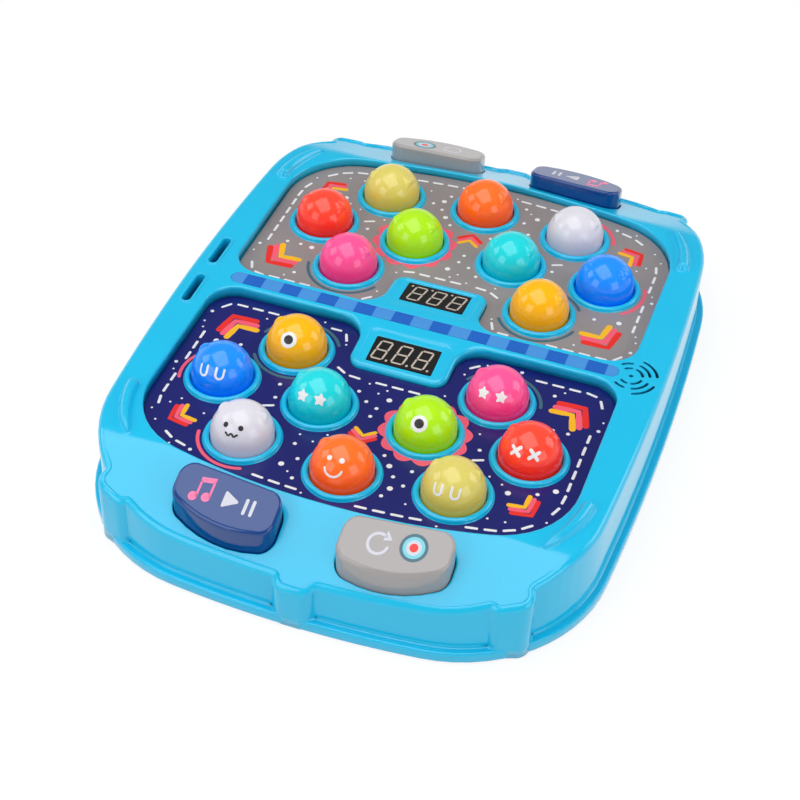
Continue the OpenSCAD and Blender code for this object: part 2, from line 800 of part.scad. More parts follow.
module speaker() {
    color([0.15, 0.15, 0.16]) translate([grille_x, 0, speaker_top - speaker_t]) {
        cylinder(r = speaker_r * 0.85, h = speaker_t);
        translate([0, 0, speaker_t - 2]) cylinder(r = speaker_r, h = 2);
    }
}

module battery_door() {
    gap = drop_in_gap;
    outer = [bay_w + 2 * door_lap[0] - 2 * gap, bay_d + 2 * door_lap[1] - 2 * gap];
    color(HOUSING_BLUE * 0.7) difference() {
        union() {
            translate([-outer[0] / 2, -outer[1] / 2, base_low]) cube([outer[0], outer[1], door_t]);
            translate([-bay_w / 2 + gap, -bay_d / 2 + gap, base_low])
                cube([bay_w - 2 * gap, bay_d - 2 * gap, base_t]);
        }
        translate([door_screw_x, 0, base_low - 1]) cylinder(r = screw_r + screw_gap, h = base_t + 2);
    }
}

module battery_cells() {
    nub = 1.3;
    color([0.72, 0.6, 0.3]) for (i = [-1:1]) rotate(i == 0 ? 180 : 0) translate([0, i * cell_pitch, cell_z])
        rotate([0, 90, 0]) {
            translate([0, 0, -cell_l / 2]) cylinder(r = cell_r, h = cell_l - nub);
            translate([0, 0, -cell_l / 2]) cylinder(r = 2.7, h = cell_l);
        }
}

// A plate at both ends of each cell, with a spring stack on the flat end's plate
module battery_contacts() {
    room = (bay_w - cell_l) / 2;
    color([0.75, 0.75, 0.72]) for (i = [-1:1]) rotate(i == 0 ? 180 : 0)
    translate([0, i * cell_pitch, cell_z]) {
        for (s = [0, 1]) mirror([s, 0, 0]) translate([-bay_w / 2, -contact_w / 2, -contact_w / 2])
            cube([contact_t, contact_w, contact_w]);
        translate([-bay_w / 2, 0, 0]) rotate([0, 90, 0]) cylinder(r = 3.6, h = room);
        translate([bay_w / 2 - room, 0, 0]) rotate([0, 90, 0]) cylinder(r = 1.6, h = room);
    }
}

// The knob of the power switch, at the left end of its travel
module power_switch() {
    color([0.1, 0.1, 0.11]) translate([power_place[0] - power_travel / 2, power_place[1], 0]) {
        translate([-knob_flange[0] / 2, -knob_flange[1] / 2, ledge_under + slide_gap]) cube(knob_flange);
        translate([-knob[0] / 2, -knob[1] / 2, base_low - 1.2]) cube([knob[0], knob[1], base_t + 1.6]);
    }
}

module screws() {
    head_top = base_low + screw_head_h;
    color([0.6, 0.61, 0.63]) {
        translate([0, 0, base_low]) linear_extrude(screw_head_h) housing_screw_plan(screw_head_r);
        translate([0, 0, head_top - SPILL]) linear_extrude(12) housing_screw_plan(screw_r);
        translate([0, 0, board_z - board_t - screw_head_h]) linear_extrude(screw_head_h)
            board_screw_plan(screw_head_r);
        translate([0, 0, board_z - board_t - SPILL]) linear_extrude(9) board_screw_plan(screw_r);
        translate([door_screw_x, 0, base_low - screw_head_h]) cylinder(r = screw_head_r, h = screw_head_h);
        translate([door_screw_x, 0, base_low - SPILL]) cylinder(r = screw_r, h = 9);
    }
}

module feet() {
    color([0.1, 0.1, 0.1]) {
        four_corners() translate(FEET_PLACES[0]) cylinder(r = foot_r, h = base_low);
        both_ends() translate(FEET_PLACES[1]) cylinder(r = foot_r, h = base_low);
    }
}

top_shell();
base_cover();
panel("near", [0.1, 0.12, 0.4]);  // near_panel
panel("far", [0.58, 0.56, 0.56]);  // far_panel
centre_strip();
display("near");  // near_display
display("far");  // far_display
board("near");  // near_board
board("far");  // far_board
button_switches();
mole_lights();
speaker();
battery_door();
battery_cells();
battery_contacts();
power_switch();
screws();
feet();
button(1, 1, BUTTON_NAVY);  // near_left_button
button(0, 1, BUTTON_GREY);  // near_right_button
button(1, 0, BUTTON_GREY);  // far_left_button
button(0, 0, BUTTON_NAVY);  // far_right_button
for (h = [0, 1], i = [0:8]) {
    place = (h == 0 ? 1 : -1) * MOLE_PLACES[i];
    mole(place, TINTS[i]);
    cup(place);
}
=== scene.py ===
"""Two-player whack-a-mole game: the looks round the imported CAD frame.

Sizes are in millimetres until a piece is placed.
"""
import math
import random

import bmesh
import bpy
from mathutils import Matrix, Vector


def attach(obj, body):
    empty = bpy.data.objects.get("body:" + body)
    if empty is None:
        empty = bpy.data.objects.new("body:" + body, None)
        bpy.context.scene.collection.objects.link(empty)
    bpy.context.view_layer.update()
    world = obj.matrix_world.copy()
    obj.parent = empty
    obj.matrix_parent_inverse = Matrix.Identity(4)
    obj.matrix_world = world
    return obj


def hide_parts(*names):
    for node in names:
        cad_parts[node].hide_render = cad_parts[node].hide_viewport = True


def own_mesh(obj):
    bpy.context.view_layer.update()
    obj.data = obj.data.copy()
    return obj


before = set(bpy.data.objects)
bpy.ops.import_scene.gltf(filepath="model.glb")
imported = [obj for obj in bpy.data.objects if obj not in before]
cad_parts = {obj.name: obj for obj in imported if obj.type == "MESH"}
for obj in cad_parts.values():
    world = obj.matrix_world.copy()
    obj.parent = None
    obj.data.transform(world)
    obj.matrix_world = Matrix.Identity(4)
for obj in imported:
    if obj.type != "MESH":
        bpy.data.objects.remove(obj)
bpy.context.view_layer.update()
scene = bpy.context.scene
MM = 0.001

# Sizes of the housing. The columns' lean, the drops, the sound holes, the caps' edge and the domes'
# radius differ a little from the part's source, and the sunk plates are here alone
HALF_W, HALF_L = 147.0, 194.0
SIDE_BOW_R, END_BOW_R, CORNER_R = 1725.0, 597.0, 85.0
LEDGE = 5.0
FLANGE_TOP, FLANGE_LOW = 7.0, 0.8
RAIL_PEAK, RAIL_END, CREASE = 50.0, 48.7, 147.0
DECK_SLOPE = math.tan(math.radians(26.2))
COLUMN_W, COLUMN_X, COLUMN_ROUND, COLUMN_BLEND = 24.0, 109.0, 8.0, 0.9
COLUMN_LEAN = math.radians(22)
BEAD_H, BEAD_LEAST = 1.6, 0.2
RECESS_W, RECESS_END, RECESS_BOW_R = 120.5, 149.0, 400.0
RECESS_OUTER_R, RECESS_INNER_R, BAR = 44.0, 17.0, 8.0
FLOOR_Z, PANEL_Z = 41.8, 43.0
STRIP_L, STRIP_W, STRIP_LOW = 231.0, 9.0, 49.2
BOSS_W, BOSS_END, BOSS_ROUND, BOSS_BLEND, BOSS_TOP = 28.5, 42.0, 8.0, 15.0, 49.6
DISPLAY_W, DISPLAY_D, DISPLAY_Y, DISPLAY_SINK = 37.7, 19.05, 27.0, 0.6
DISPLAY_TILT = math.tan(math.radians(6))
PLATE_W, PLATE_D, PLATE_Y, PLATE_ROUND, PLATE_SINK = 48.4, 25.9, 25.35, 5.0, 0.5
DROP_IN = 0.25
BUTTON_IN, BUTTON_OUT, BUTTON_UP_IN, BUTTON_UP_OUT = 16.5, 74.5, 155.7, 152.2
BUTTON_FRONT, BUTTON_FRONT_R, BUTTON_ROUND = (38.0, 181.5), 67.0, 8.5
BUTTON_MID_Y, BUTTON_H, BUTTON_EDGE, BUTTON_GAP = 168.6, 12.0, 2.0, 0.5
BUTTON_SLOPE = math.tan(math.radians(20))
SLOT_X, SLOT_Y, SLOT_L, SLOT_W, SLOT_DEPTH = 131.25, 18.5, 25.0, 5.2, 16.0
GRILLE_X, GRILLE_R, GRILLE_STEP, GRILLE_W = 122.5, 6.4, 4.0, 1.7
DROP_HEAD, DROP_TAIL, DROP_H, DROP_BOW = (127.0, 105.5, 4.3), (114.0, 138.5, 1.2), 4.6, 2.4
DOME_R, DOME_Z, DOME_WALL = 16.98, 47.5, 1.6
MOLE_LOW, MOLE_FLANGE_R, MOLE_FLANGE_T, MOLE_TRAVEL = 37.0, 19.6, 2.1, 4.0
BORE_R, COLLAR_R, COLLAR_TOP = 17.6, 21.0, 45.4
MOLES = {
    "blue": (-87.8, -76.0), "gold": (-58.6, -40.0), "teal": (-30.2, -77.1),
    "white": (-58.7, -115.3), "orange": (0.0, -121.4), "lime": (30.2, -77.1),
    "pink": (58.6, -40.0), "red": (87.8, -76.0), "olive": (58.7, -115.3)}
HALVES = {"near": 1, "far": -1}
WALL = 1.5

END_MID = Vector((0, HALF_L - END_BOW_R))
SIDE_MID = Vector((HALF_W - SIDE_BOW_R, 0))
RIGHT, AHEAD = Vector((1, 0)), Vector((0, 1))
# The longest turn and run of one step along an arc, and the distance at which two points are one
ARC_TURN, ARC_RUN, SAME = math.radians(9), 9.0, 1e-3


def all_moles():
    for half, side in HALVES.items():
        for tint, (x, y) in MOLES.items():
            yield half, side, tint, x, y


# Plans: each path is a list of points with the normal that points out of it

def heading(v):
    return math.atan2(v.y, v.x)


def toward(angle):
    return Vector((math.cos(angle), math.sin(angle)))


def bend(centre, radius, start, end, hollow=False):
    """An arc from one direction to another, anticlockwise, or clockwise where it is hollow."""
    first, last = heading(start), heading(end)
    if hollow:
        while last > first + 1e-9:
            last -= math.tau
    else:
        while last < first - 1e-9:
            last += math.tau
    span = abs(last - first)
    steps = max(2, math.ceil(max(span / ARC_TURN, span * radius / ARC_RUN)))
    path = []
    for i in range(steps + 1):
        out = toward(first + (last - first) * i / steps)
        path.append((centre + radius * out, -out if hollow else out))
    return path


def meet(a, radius_a, b, radius_b, side):
    """Where two circles cross, left (1) or right (-1) of the line from a to b."""
    gap = (b - a).length
    along = (b - a) / gap
    reach = (radius_a ** 2 - radius_b ** 2 + gap ** 2) / (2 * gap)
    off = math.sqrt(radius_a ** 2 - reach ** 2)
    return a + reach * along + side * off * Vector((-along.y, along.x))


def joined(*paths):
    """One closed path with the points that fall together left out."""
    whole = []
    for path in paths:
        for point, out in path:
            if not whole or (point - whole[-1][0]).length > SAME:
                whole.append((point, out))
    if (whole[0][0] - whole[-1][0]).length < SAME:
        whole.pop()
    return whole


def flip_x(path):
    return [(Vector((-p.x, p.y)), Vector((-n.x, n.y))) for p, n in reversed(path)]


def flip_y(path):
    return [(Vector((p.x, -p.y)), Vector((n.x, -n.y))) for p, n in reversed(path)]


def half_turn(path):
    return [(-p, -n) for p, n in path]


def all_round(quadrant):
    half = quadrant + flip_x(quadrant)
    return joined(half, half_turn(half))


def four(path):
    """A path of one corner, and the same in the other three."""
    return path, flip_x(path), flip_y(path), half_turn(path)


def moved(path, x, y):
    return [(p + Vector((x, y)), n) for p, n in path]


def plan(path, grow):
    return [p + grow * n for p, n in path]


CORNER_MID = meet(SIDE_MID, SIDE_BOW_R - CORNER_R, END_MID, END_BOW_R - CORNER_R, 1)
CORNER_TOUCH = CORNER_MID + CORNER_R * (CORNER_MID - END_MID).normalized()


def flange_path(inset):
    return all_round(
        bend(SIDE_MID, SIDE_BOW_R - inset, RIGHT, CORNER_MID - SIDE_MID)
        + bend(CORNER_MID, CORNER_R - inset, CORNER_MID - SIDE_MID, CORNER_MID - END_MID)
        + bend(END_MID, END_BOW_R - inset, CORNER_MID - END_MID, AHEAD))


def column_side(face, axis, mid, bow_r, side):
    """The rounded edge of a column on an arc of the flange, and the hollow that leads into the wall."""
    across = Vector((-axis.y, axis.x)) * side
    edge = face - axis * COLUMN_ROUND + across * (COLUMN_W / 2 - COLUMN_ROUND)
    hollow = meet(mid, bow_r - LEDGE + COLUMN_BLEND, edge, COLUMN_ROUND + COLUMN_BLEND, side)
    if side < 0:
        path = bend(hollow, COLUMN_BLEND, mid - hollow, edge - hollow, True)
        return hollow, path + bend(edge, COLUMN_ROUND, hollow - edge, axis)
    path = bend(edge, COLUMN_ROUND, axis, hollow - edge)
    return hollow, path + bend(hollow, COLUMN_BLEND, edge - hollow, mid - hollow, True)


def wall_path():
    """The upright walls, with half of the middle column and one corner column in each quadrant."""
    lean = math.asin((COLUMN_X - CORNER_MID.x) / CORNER_R)
    face = CORNER_MID + CORNER_R * Vector((math.sin(lean), math.cos(lean)))
    axis = Vector((math.sin(COLUMN_LEAN), math.cos(COLUMN_LEAN)))
    corner_wall, end_wall = CORNER_R - LEDGE, END_BOW_R - LEDGE
    right, right_path = column_side(face, axis, CORNER_MID, CORNER_R, -1)
    left, left_path = column_side(face, axis, CORNER_MID, CORNER_R, 1)
    tip, tip_path = column_side(AHEAD * HALF_L, AHEAD, END_MID, END_BOW_R, -1)
    return all_round(
        bend(SIDE_MID, SIDE_BOW_R - LEDGE, RIGHT, CORNER_MID - SIDE_MID)
        + bend(CORNER_MID, corner_wall, CORNER_MID - SIDE_MID, right - CORNER_MID)
        + right_path + left_path
        + bend(CORNER_MID, corner_wall, left - CORNER_MID, CORNER_MID - END_MID)
        + bend(END_MID, end_wall, CORNER_MID - END_MID, tip - END_MID)
        + tip_path)


def recess_path():
    """The far recess, with the display's boss standing into it."""
    mid = Vector((0, RECESS_END - RECESS_BOW_R))
    corner_x = RECESS_W - RECESS_OUTER_R
    corner_y = math.sqrt((RECESS_BOW_R - RECESS_OUTER_R) ** 2 - corner_x ** 2)
    corner = mid + Vector((corner_x, corner_y))
    inner = Vector((RECESS_W - RECESS_INNER_R, BAR + RECESS_INNER_R))
    foot = Vector((BOSS_W + BOSS_BLEND, BAR + BOSS_BLEND))
    front = Vector((BOSS_W - BOSS_ROUND, BOSS_END - BOSS_ROUND))
    half = (
        bend(front, BOSS_ROUND, AHEAD, RIGHT, True)
        + bend(foot, BOSS_BLEND, -RIGHT, -AHEAD)
        + bend(inner, RECESS_INNER_R, -AHEAD, RIGHT)
        + bend(corner, RECESS_OUTER_R, RIGHT, corner - mid)
        + bend(mid, RECESS_BOW_R, corner - mid, AHEAD))
    return joined(half, flip_x(half))


def button_path():
    """The far right button, with a bowed front edge."""
    mid = Vector(BUTTON_FRONT) - Vector((0, BUTTON_FRONT_R))
    xs = (BUTTON_IN + BUTTON_ROUND, BUTTON_OUT - BUTTON_ROUND)
    inner_r = BUTTON_FRONT_R - BUTTON_ROUND
    low = [Vector((x, mid.y + math.sqrt(inner_r ** 2 - (x - mid.x) ** 2))) for x in xs]
    up = [Vector((x, y + BUTTON_ROUND)) for x, y in zip(xs, (BUTTON_UP_IN, BUTTON_UP_OUT))]
    along = (up[1] - up[0]).normalized()
    back = Vector((along.y, -along.x))
    return joined(
        bend(low[1], BUTTON_ROUND, RIGHT, low[1] - mid)
        + bend(mid, BUTTON_FRONT_R, low[1] - mid, low[0] - mid)
        + bend(low[0], BUTTON_ROUND, low[0] - mid, -RIGHT)
        + bend(up[0], BUTTON_ROUND, -RIGHT, back)
        + bend(up[1], BUTTON_ROUND, back, RIGHT))


def stadium_path(half_length, radius):
    """A bar along Y with round ends."""
    end = Vector((0, half_length - radius))
    return joined(bend(end, radius, RIGHT, -RIGHT), bend(-end, radius, -RIGHT, RIGHT))


def rect_path(half_x, half_y, radius):
    corner = Vector((half_x - radius, half_y - radius))
    return all_round(bend(corner, radius, RIGHT, AHEAD))


DROP_START = Vector(DROP_HEAD[:2])
DROP_RUN = Vector(DROP_TAIL[:2]) - DROP_START


def drop_radius(p):
    """Half of the drop's width beside a point of it, in any of the four corners."""
    share = (Vector((abs(p.x), abs(p.y))) - DROP_START).dot(DROP_RUN) / DROP_RUN.length_squared
    share = min(1.0, max(0.0, share))
    return DROP_TAIL[2] + (DROP_HEAD[2] - DROP_TAIL[2]) * math.sqrt(1 - share * share)


def drop_path():
    """A drop from a round head to a narrow tail, bowed like the corner that it stands in."""
    out = Vector((DROP_RUN.y, -DROP_RUN.x)).normalized()
    shares = [i / 12 for i in range(13)]
    spine = [DROP_START + DROP_RUN * s + out * DROP_BOW * 4 * s * (1 - s) for s in shares]
    outer = [(p + out * drop_radius(p), out) for p in spine]
    inner = [(p - out * drop_radius(p), -out) for p in reversed(spine)]
    head = bend(spine[0], DROP_HEAD[2], -out, out)
    tail = bend(spine[-1], DROP_TAIL[2], out, -out)
    return joined(head, outer, tail, inner)


def arc_hole_path(radius, middle, sweep):
    """A sound hole along a ring, with round ends."""
    half = GRILLE_W / 2
    start, end = (toward(math.radians(middle + s * sweep / 2)) for s in (-1, 1))
    origin = Vector((0, 0))
    return joined(
        bend(origin, radius + half, start, end)
        + bend(end * radius, half, end, -end)
        + bend(origin, radius - half, end, start, True)
        + bend(start * radius, half, -start, start))


def circle_path(radius, steps=48):
    ways = [toward(i * math.tau / steps) for i in range(steps)]
    return [(radius * way, way) for way in ways]


# Heights of the housing's top. The decks' crease is bowed: how far out it lies at the middle, its
# bow, where the bow ends, and the least place of the rim that the deck is led to
CREASE_OUT, CREASE_BOW, CREASE_BOW_X, RIM_LEAST = 1.0, 6.5, 92.0, 165.0
# How softly the rails' peak and the crease are rounded, the crease more so towards the corners
PEAK_SOFT, CREASE_SOFT, CORNER_SOFT, CORNER_SOFT_X, CORNER_SOFT_RUN = 10.0, 0.9, 1.2, 96.0, 30.0
# The patch round a display's boss, and how its slope fades into the bar
PATCH_X, PATCH_Y, PATCH_FADE_X, PATCH_RUN, PATCH_SOFT = 56.0, 60.0, 54.0, 8.0, 0.12


def soft_min(a, b, round_off):
    return 0.5 * (a + b - math.sqrt((a - b) ** 2 + round_off ** 2))


def ease(t):
    t = min(1.0, max(0.0, t))
    return t * t * (3 - 2 * t)


def deck_z(y):
    return RAIL_END - (abs(y) - CREASE) * DECK_SLOPE


def button_z(y):
    return deck_z(BUTTON_MID_Y) + BUTTON_H - (abs(y) - BUTTON_MID_Y) * BUTTON_SLOPE


def boss_z(y):
    return BOSS_TOP - (abs(y) - BAR) * DISPLAY_TILT


def end_arc(x):
    """Centre and radius of the flange's arc beside a place along the end."""
    return (CORNER_MID, CORNER_R) if abs(x) > CORNER_TOUCH.x else (END_MID, END_BOW_R)


def rim_y(x):
    """How far out the wall stands beside the middle line."""
    mid, reach = end_arc(x)
    return mid.y + math.sqrt(max(0.0, (reach - LEDGE) ** 2 - (abs(x) - mid.x) ** 2))


def bowed_deck_z(x, y):
    """The deck with its crease bowed like the recess; the rim stays where the plane deck has it."""
    crease = CREASE + CREASE_OUT - CREASE_BOW * ease(abs(x) / CREASE_BOW_X)
    rim = max(RIM_LEAST, rim_y(x))
    return RAIL_END - (abs(y) - crease) * DECK_SLOPE * (rim - CREASE) / (rim - crease)


def top_z(x, y):
    """Height of the rails, decks, bar and display bosses."""
    share = (math.hypot(y, PEAK_SOFT) - PEAK_SOFT) / (math.hypot(CREASE, PEAK_SOFT) - PEAK_SOFT)
    roof = RAIL_PEAK - (RAIL_PEAK - RAIL_END) * share
    soft = CREASE_SOFT + CORNER_SOFT * ease((abs(x) - CORNER_SOFT_X) / CORNER_SOFT_RUN)
    z = soft_min(roof, bowed_deck_z(x, y), soft)
    if abs(x) < PATCH_X and abs(y) < PATCH_Y:
        z += (soft_min(z, boss_z(y), PATCH_SOFT) - z) * ease((PATCH_FADE_X - abs(x)) / PATCH_RUN)
    return z


# Mesh helpers

def start_loop(bm, points, z):
    """A closed ring of vertices; z is a height or a function of the point."""
    ring = [bm.verts.new((p.x, p.y, z(p) if callable(z) else z)) for p in points]
    for pair in zip(ring, ring[1:] + ring[:1]):
        bm.edges.new(pair)
    return ring


def ring_edges(bm, ring):
    return [bm.edges.get(pair) for pair in zip(ring, ring[1:] + ring[:1])]


def twins(made, verts):
    """The new vertices that an extrusion gave the old ones."""
    fresh = {v for v in made["geom"] if isinstance(v, bmesh.types.BMVert)}
    return [next(e.other_vert(v) for e in v.link_edges if e.other_vert(v) in fresh) for v in verts]


def grow_loop(bm, ring, points, z):
    """Extrudes a ring and puts the new one on the points."""
    grown = twins(bmesh.ops.extrude_edge_only(bm, edges=ring_edges(bm, ring)), ring)
    for v, p in zip(grown, points):
        v.co = (p.x, p.y, z(p) if callable(z) else z)
    return grown


def loft(bm, path, stations):
    """Rings along a path, one for each (grow, height); grow may be a function of the point."""
    rings = []
    for grow, z in stations:
        if callable(grow):
            points = [p + grow(p) * n for p, n in path]
        else:
            points = plan(path, grow)
        rings.append(grow_loop(bm, rings[-1], points, z) if rings else start_loop(bm, points, z))
    return rings


def quarter(turns):
    """(1 - cos, 1 - sin) at each turn in degrees: the offsets of a rounded edge of radius 1."""
    return [(1 - math.cos(math.radians(a)), 1 - math.sin(math.radians(a))) for a in turns]


def fill(bm, *rings):
    edges = [e for ring in rings for e in ring_edges(bm, ring)]
    bmesh.ops.triangle_fill(bm, use_beauty=True, edges=edges, normal=(0, 0, 1))


def cut(bm, axis, places):
    """Cuts the whole mesh across an axis, so that it can bend there."""
    normal = Vector((1, 0, 0)) if axis == "x" else Vector((0, 1, 0))
    for place in places:
        geom = bm.verts[:] + bm.edges[:] + bm.faces[:]
        bmesh.ops.bisect_plane(bm, geom=geom, dist=1e-4, plane_co=normal * place, plane_no=normal)


def turned(bm, steps, centre, profile):
    """Spins a profile of (radius, height) points about an upright axis."""
    x, y = centre
    chain = [bm.verts.new((x + r, y, z)) for r, z in profile]
    edges = [bm.edges.new(pair) for pair in zip(chain, chain[1:])]
    if profile[0] == profile[-1]:
        bmesh.ops.remove_doubles(bm, verts=[chain[0], chain[-1]], dist=1e-5)
        edges = [e for e in edges if e.is_valid]
        chain = [v for v in chain if v.is_valid]
    bmesh.ops.spin(bm, geom=chain + edges, cent=(x, y, 0), axis=(0, 0, 1), dvec=(0, 0, 0),
                   angle=math.tau, steps=steps, use_merge=True)


def piece(bm, name, body, materials, slot=None, hides=(), sharp=40):
    """Finishes a mesh in millimetres as a piece that rides on a CAD body."""
    bmesh.ops.remove_doubles(bm, verts=bm.verts, dist=1e-4)
    bmesh.ops.recalc_face_normals(bm, faces=bm.faces)
    bmesh.ops.scale(bm, vec=(MM, MM, MM), verts=bm.verts)
    mesh = bpy.data.meshes.new(name)
    bm.to_mesh(mesh)
    bm.free()
    for material in materials:
        mesh.materials.append(material)
    mesh.shade_smooth()
    mesh.set_sharp_from_angle(angle=math.radians(sharp))
    obj = bpy.data.objects.new(name, mesh)
    scene.collection.objects.link(obj)
    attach(obj, body)
    if hides:
        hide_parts(*hides)
    return obj


# Finishes

def srgb(*rgb):
    """A colour written in 0..255 as the linear colour that the nodes take."""
    shares = [v / 255 for v in rgb]
    return [c / 12.92 if c <= 0.04045 else ((c + 0.055) / 1.055) ** 2.4 for c in shares] + [1.0]


class Nodes:
    """Short hand for adding and linking nodes in one tree."""

    def __init__(self, tree):
        self.tree = tree

    def add(self, kind, values=None, **settings):
        node = self.tree.nodes.new(kind)
        for key, value in settings.items():
            setattr(node, key, value)
        self.feed(node, values or {})
        return node

    def feed(self, node, values):
        for key, value in values.items():
            self.put(node.inputs[key], value)

    def put(self, socket, value):
        if isinstance(value, bpy.types.NodeSocket):
            self.tree.links.new(value, socket)
        else:
            socket.default_value = value

    def math(self, operation, a, b=0.0):
        node = self.add("ShaderNodeMath", {0: a, 1: b}, operation=operation)
        return node.outputs[0]

    def mix(self, factor, a, b):
        return self.add("ShaderNodeMix", {0: factor, 6: a, 7: b}, data_type="RGBA").outputs[2]

    def object_place(self):
        return self.add("ShaderNodeTexCoord").outputs["Object"]


def new_group(name, inputs, outputs):
    """A shader node group: the group, its nodes, and the sockets of its input and output."""
    group = bpy.data.node_groups.new(name, "ShaderNodeTree")
    for title, kind, value in inputs:
        group.interface.new_socket(title, in_out="INPUT", socket_type=kind).default_value = value
    for title, kind in outputs:
        group.interface.new_socket(title, in_out="OUTPUT", socket_type=kind)
    nodes = Nodes(group)
    return group, nodes, nodes.add("NodeGroupInput").outputs, nodes.add("NodeGroupOutput").inputs


def make_moulded():
    """Moulded plastic: slow drifts of colour, a fine texture, and smudges where hands go."""
    group, n, given, out = new_group(
        "moulded_plastic",
        [("Color", "NodeSocketColor", (0.5, 0.5, 0.5, 1)), ("Drift", "NodeSocketFloat", 0.05),
         ("Gloss", "NodeSocketFloat", 0.25), ("Smudge", "NodeSocketFloat", 0.1),
         ("Grain", "NodeSocketFloat", 1400.0)],
        [("Color", "NodeSocketColor"), ("Roughness", "NodeSocketFloat"), ("Height", "NodeSocketFloat")])
    place = n.object_place()

    def noise(scale, detail, rough=0.5):
        values = {"Vector": place, "Scale": scale, "Detail": detail, "Roughness": rough}
        return n.add("ShaderNodeTexNoise", values).outputs[0]

    drift, smudge, grain = noise(24.0, 3.0), noise(90.0, 5.0, 0.65), noise(given["Grain"], 2.0)
    lift = n.math("MULTIPLY", n.math("SUBTRACT", drift, 0.5), given["Drift"])
    value = n.math("ADD", lift, 1.0)
    tint = n.add("ShaderNodeHueSaturation", {"Color": given["Color"], "Value": value}).outputs[0]
    n.put(out["Color"], tint)
    rough = n.math("MULTIPLY", n.math("SUBTRACT", smudge, 0.5), given["Smudge"])
    n.put(out["Roughness"], n.math("MAXIMUM", n.math("ADD", rough, given["Gloss"]), 0.03))
    n.put(out["Height"], grain)
    return group


def make_dome_painted_light():
    """A dome of tinted plastic painted paler at the crown and deeper at the foot: a painted highlight at
    the top and painted shade low down.
    """
    group, n, given, out = new_group(
        "dome_painted_light",
        [("Crown", "NodeSocketColor", (1, 1, 1, 1)), ("Foot", "NodeSocketColor", (0.5, 0.5, 0.5, 1))],
        [("Color", "NodeSocketColor")])
    height = n.add("ShaderNodeSeparateXYZ", {0: n.object_place()}).outputs[2]
    reach = {"Value": height, "From Min": (COLLAR_TOP - 2) * MM, "From Max": (DOME_Z + DOME_R) * MM}
    share = n.add("ShaderNodeMapRange", reach, interpolation_type="SMOOTHSTEP").outputs[0]
    n.put(out["Color"], n.mix(share, given["Foot"], given["Crown"]))
    return group


MOULDED = make_moulded()
DOME_PAINTED_LIGHT = make_dome_painted_light()


def plastic(name, colour, gloss=0.25, drift=0.08, smudge=0.12, bump=0.02, grain=1400.0, coat=0.0,
            glow=None, soft=0.0, painted_glow=0.0, metal=0.0):
    """A moulded finish; glow is a second colour for a dome's foot, painted shade under a crown colour
    that is a painted highlight; soft scatters light inside the wall, and the last argument paints on a
    glow of the finish's own colour, light that no lamp gives.
    """
    material = bpy.data.materials.new(name)
    material.use_nodes = True
    n = Nodes(material.node_tree)
    shader = material.node_tree.nodes["Principled BSDF"]
    # For a dome: a gradient with height from the foot colour to the crown colour, painted shade low down
    # and a painted highlight on top
    if glow:
        tint = n.add("ShaderNodeGroup", {"Crown": colour, "Foot": glow}, node_tree=DOME_PAINTED_LIGHT)
        colour = tint.outputs["Color"]
    values = {"Color": colour, "Drift": drift, "Gloss": gloss, "Smudge": smudge, "Grain": grain}
    made = n.add("ShaderNodeGroup", values, node_tree=MOULDED).outputs
    relief = n.add("ShaderNodeBump", {"Strength": bump, "Distance": 0.0002, "Height": made["Height"]})
    n.feed(shader, {
        "Base Color": made["Color"], "Roughness": made["Roughness"], "Normal": relief.outputs[0],
        "Metallic": metal, "Coat Weight": coat, "Coat Roughness": 0.06})
    if soft:
        n.feed(shader, {"Subsurface Weight": soft, "Subsurface Radius": (0.9, 0.9, 0.9),
                        "Subsurface Scale": 0.004})
    # Painted glow: the surface gives off light of its own colour, though it is no lamp
    if painted_glow:
        n.feed(shader, {"Emission Color": made["Color"], "Emission Strength": painted_glow})
    return material


def chequer(name, light, dark, start, pitch, width):
    """The strip's blocks along X."""
    material = plastic(name, light, gloss=0.3)
    n = Nodes(material.node_tree)
    finish = next(node for node in material.node_tree.nodes if node.type == "GROUP")
    along = n.add("ShaderNodeSeparateXYZ", {0: n.object_place()}).outputs[0]
    turns = n.math("DIVIDE", n.math("SUBTRACT", along, start * MM), pitch * MM)
    part = n.math("FRACT", turns)
    block = n.math("LESS_THAN", part, width / pitch)
    n.put(finish.inputs["Color"], n.mix(block, light, dark))
    return material


HOUSING = plastic("housing_blue", srgb(22, 196, 240), gloss=0.15, drift=0.05, smudge=0.08, coat=0.2)
BASE = plastic("base_blue", srgb(24, 150, 190), gloss=0.4, grain=900.0, bump=0.06)
NAVY_FILM = plastic("panel_navy", srgb(22, 28, 110), gloss=0.22, drift=0.12)
GREY_FILM = plastic("panel_grey", srgb(150, 143, 143), gloss=0.24, drift=0.08)
STRIP = chequer("strip_blocks", srgb(70, 150, 225), srgb(20, 100, 198),
                start=-107.0, pitch=22.7, width=11.3)
LENS = plastic("display_black", srgb(22, 21, 22), gloss=0.16, smudge=0.06)
BOARD = plastic("board_green", srgb(24, 92, 50), gloss=0.4, drift=0.2)
BLACK = plastic("black_plastic", srgb(26, 26, 28), gloss=0.45)
LIGHT = plastic("lamp_white", srgb(236, 236, 232), gloss=0.2, soft=0.3)
CELL = plastic("cell_sleeve", srgb(60, 62, 66), gloss=0.35, metal=0.4)
STEEL = plastic("bright_steel", srgb(190, 190, 188), gloss=0.3, metal=1.0)
RUBBER = plastic("foot_rubber", srgb(40, 40, 42), gloss=0.75, bump=0.1, grain=800.0)
SILICONE = plastic("cup_silicone", srgb(212, 214, 218), gloss=0.5, soft=0.3)
NAVY_CAP = plastic("button_navy", srgb(8, 64, 136), gloss=0.13, drift=0.04, smudge=0.05, coat=0.3)
GREY_CAP = plastic("button_grey", srgb(168, 163, 163), gloss=0.14, drift=0.03, smudge=0.05, coat=0.3)
INK = {}
for tint, rgb in {"white": (240, 240, 242), "pale": (214, 214, 226), "dark": (38, 36, 38)}.items():
    INK[tint] = plastic("ink_" + tint, srgb(*rgb), gloss=0.35, drift=0.04)
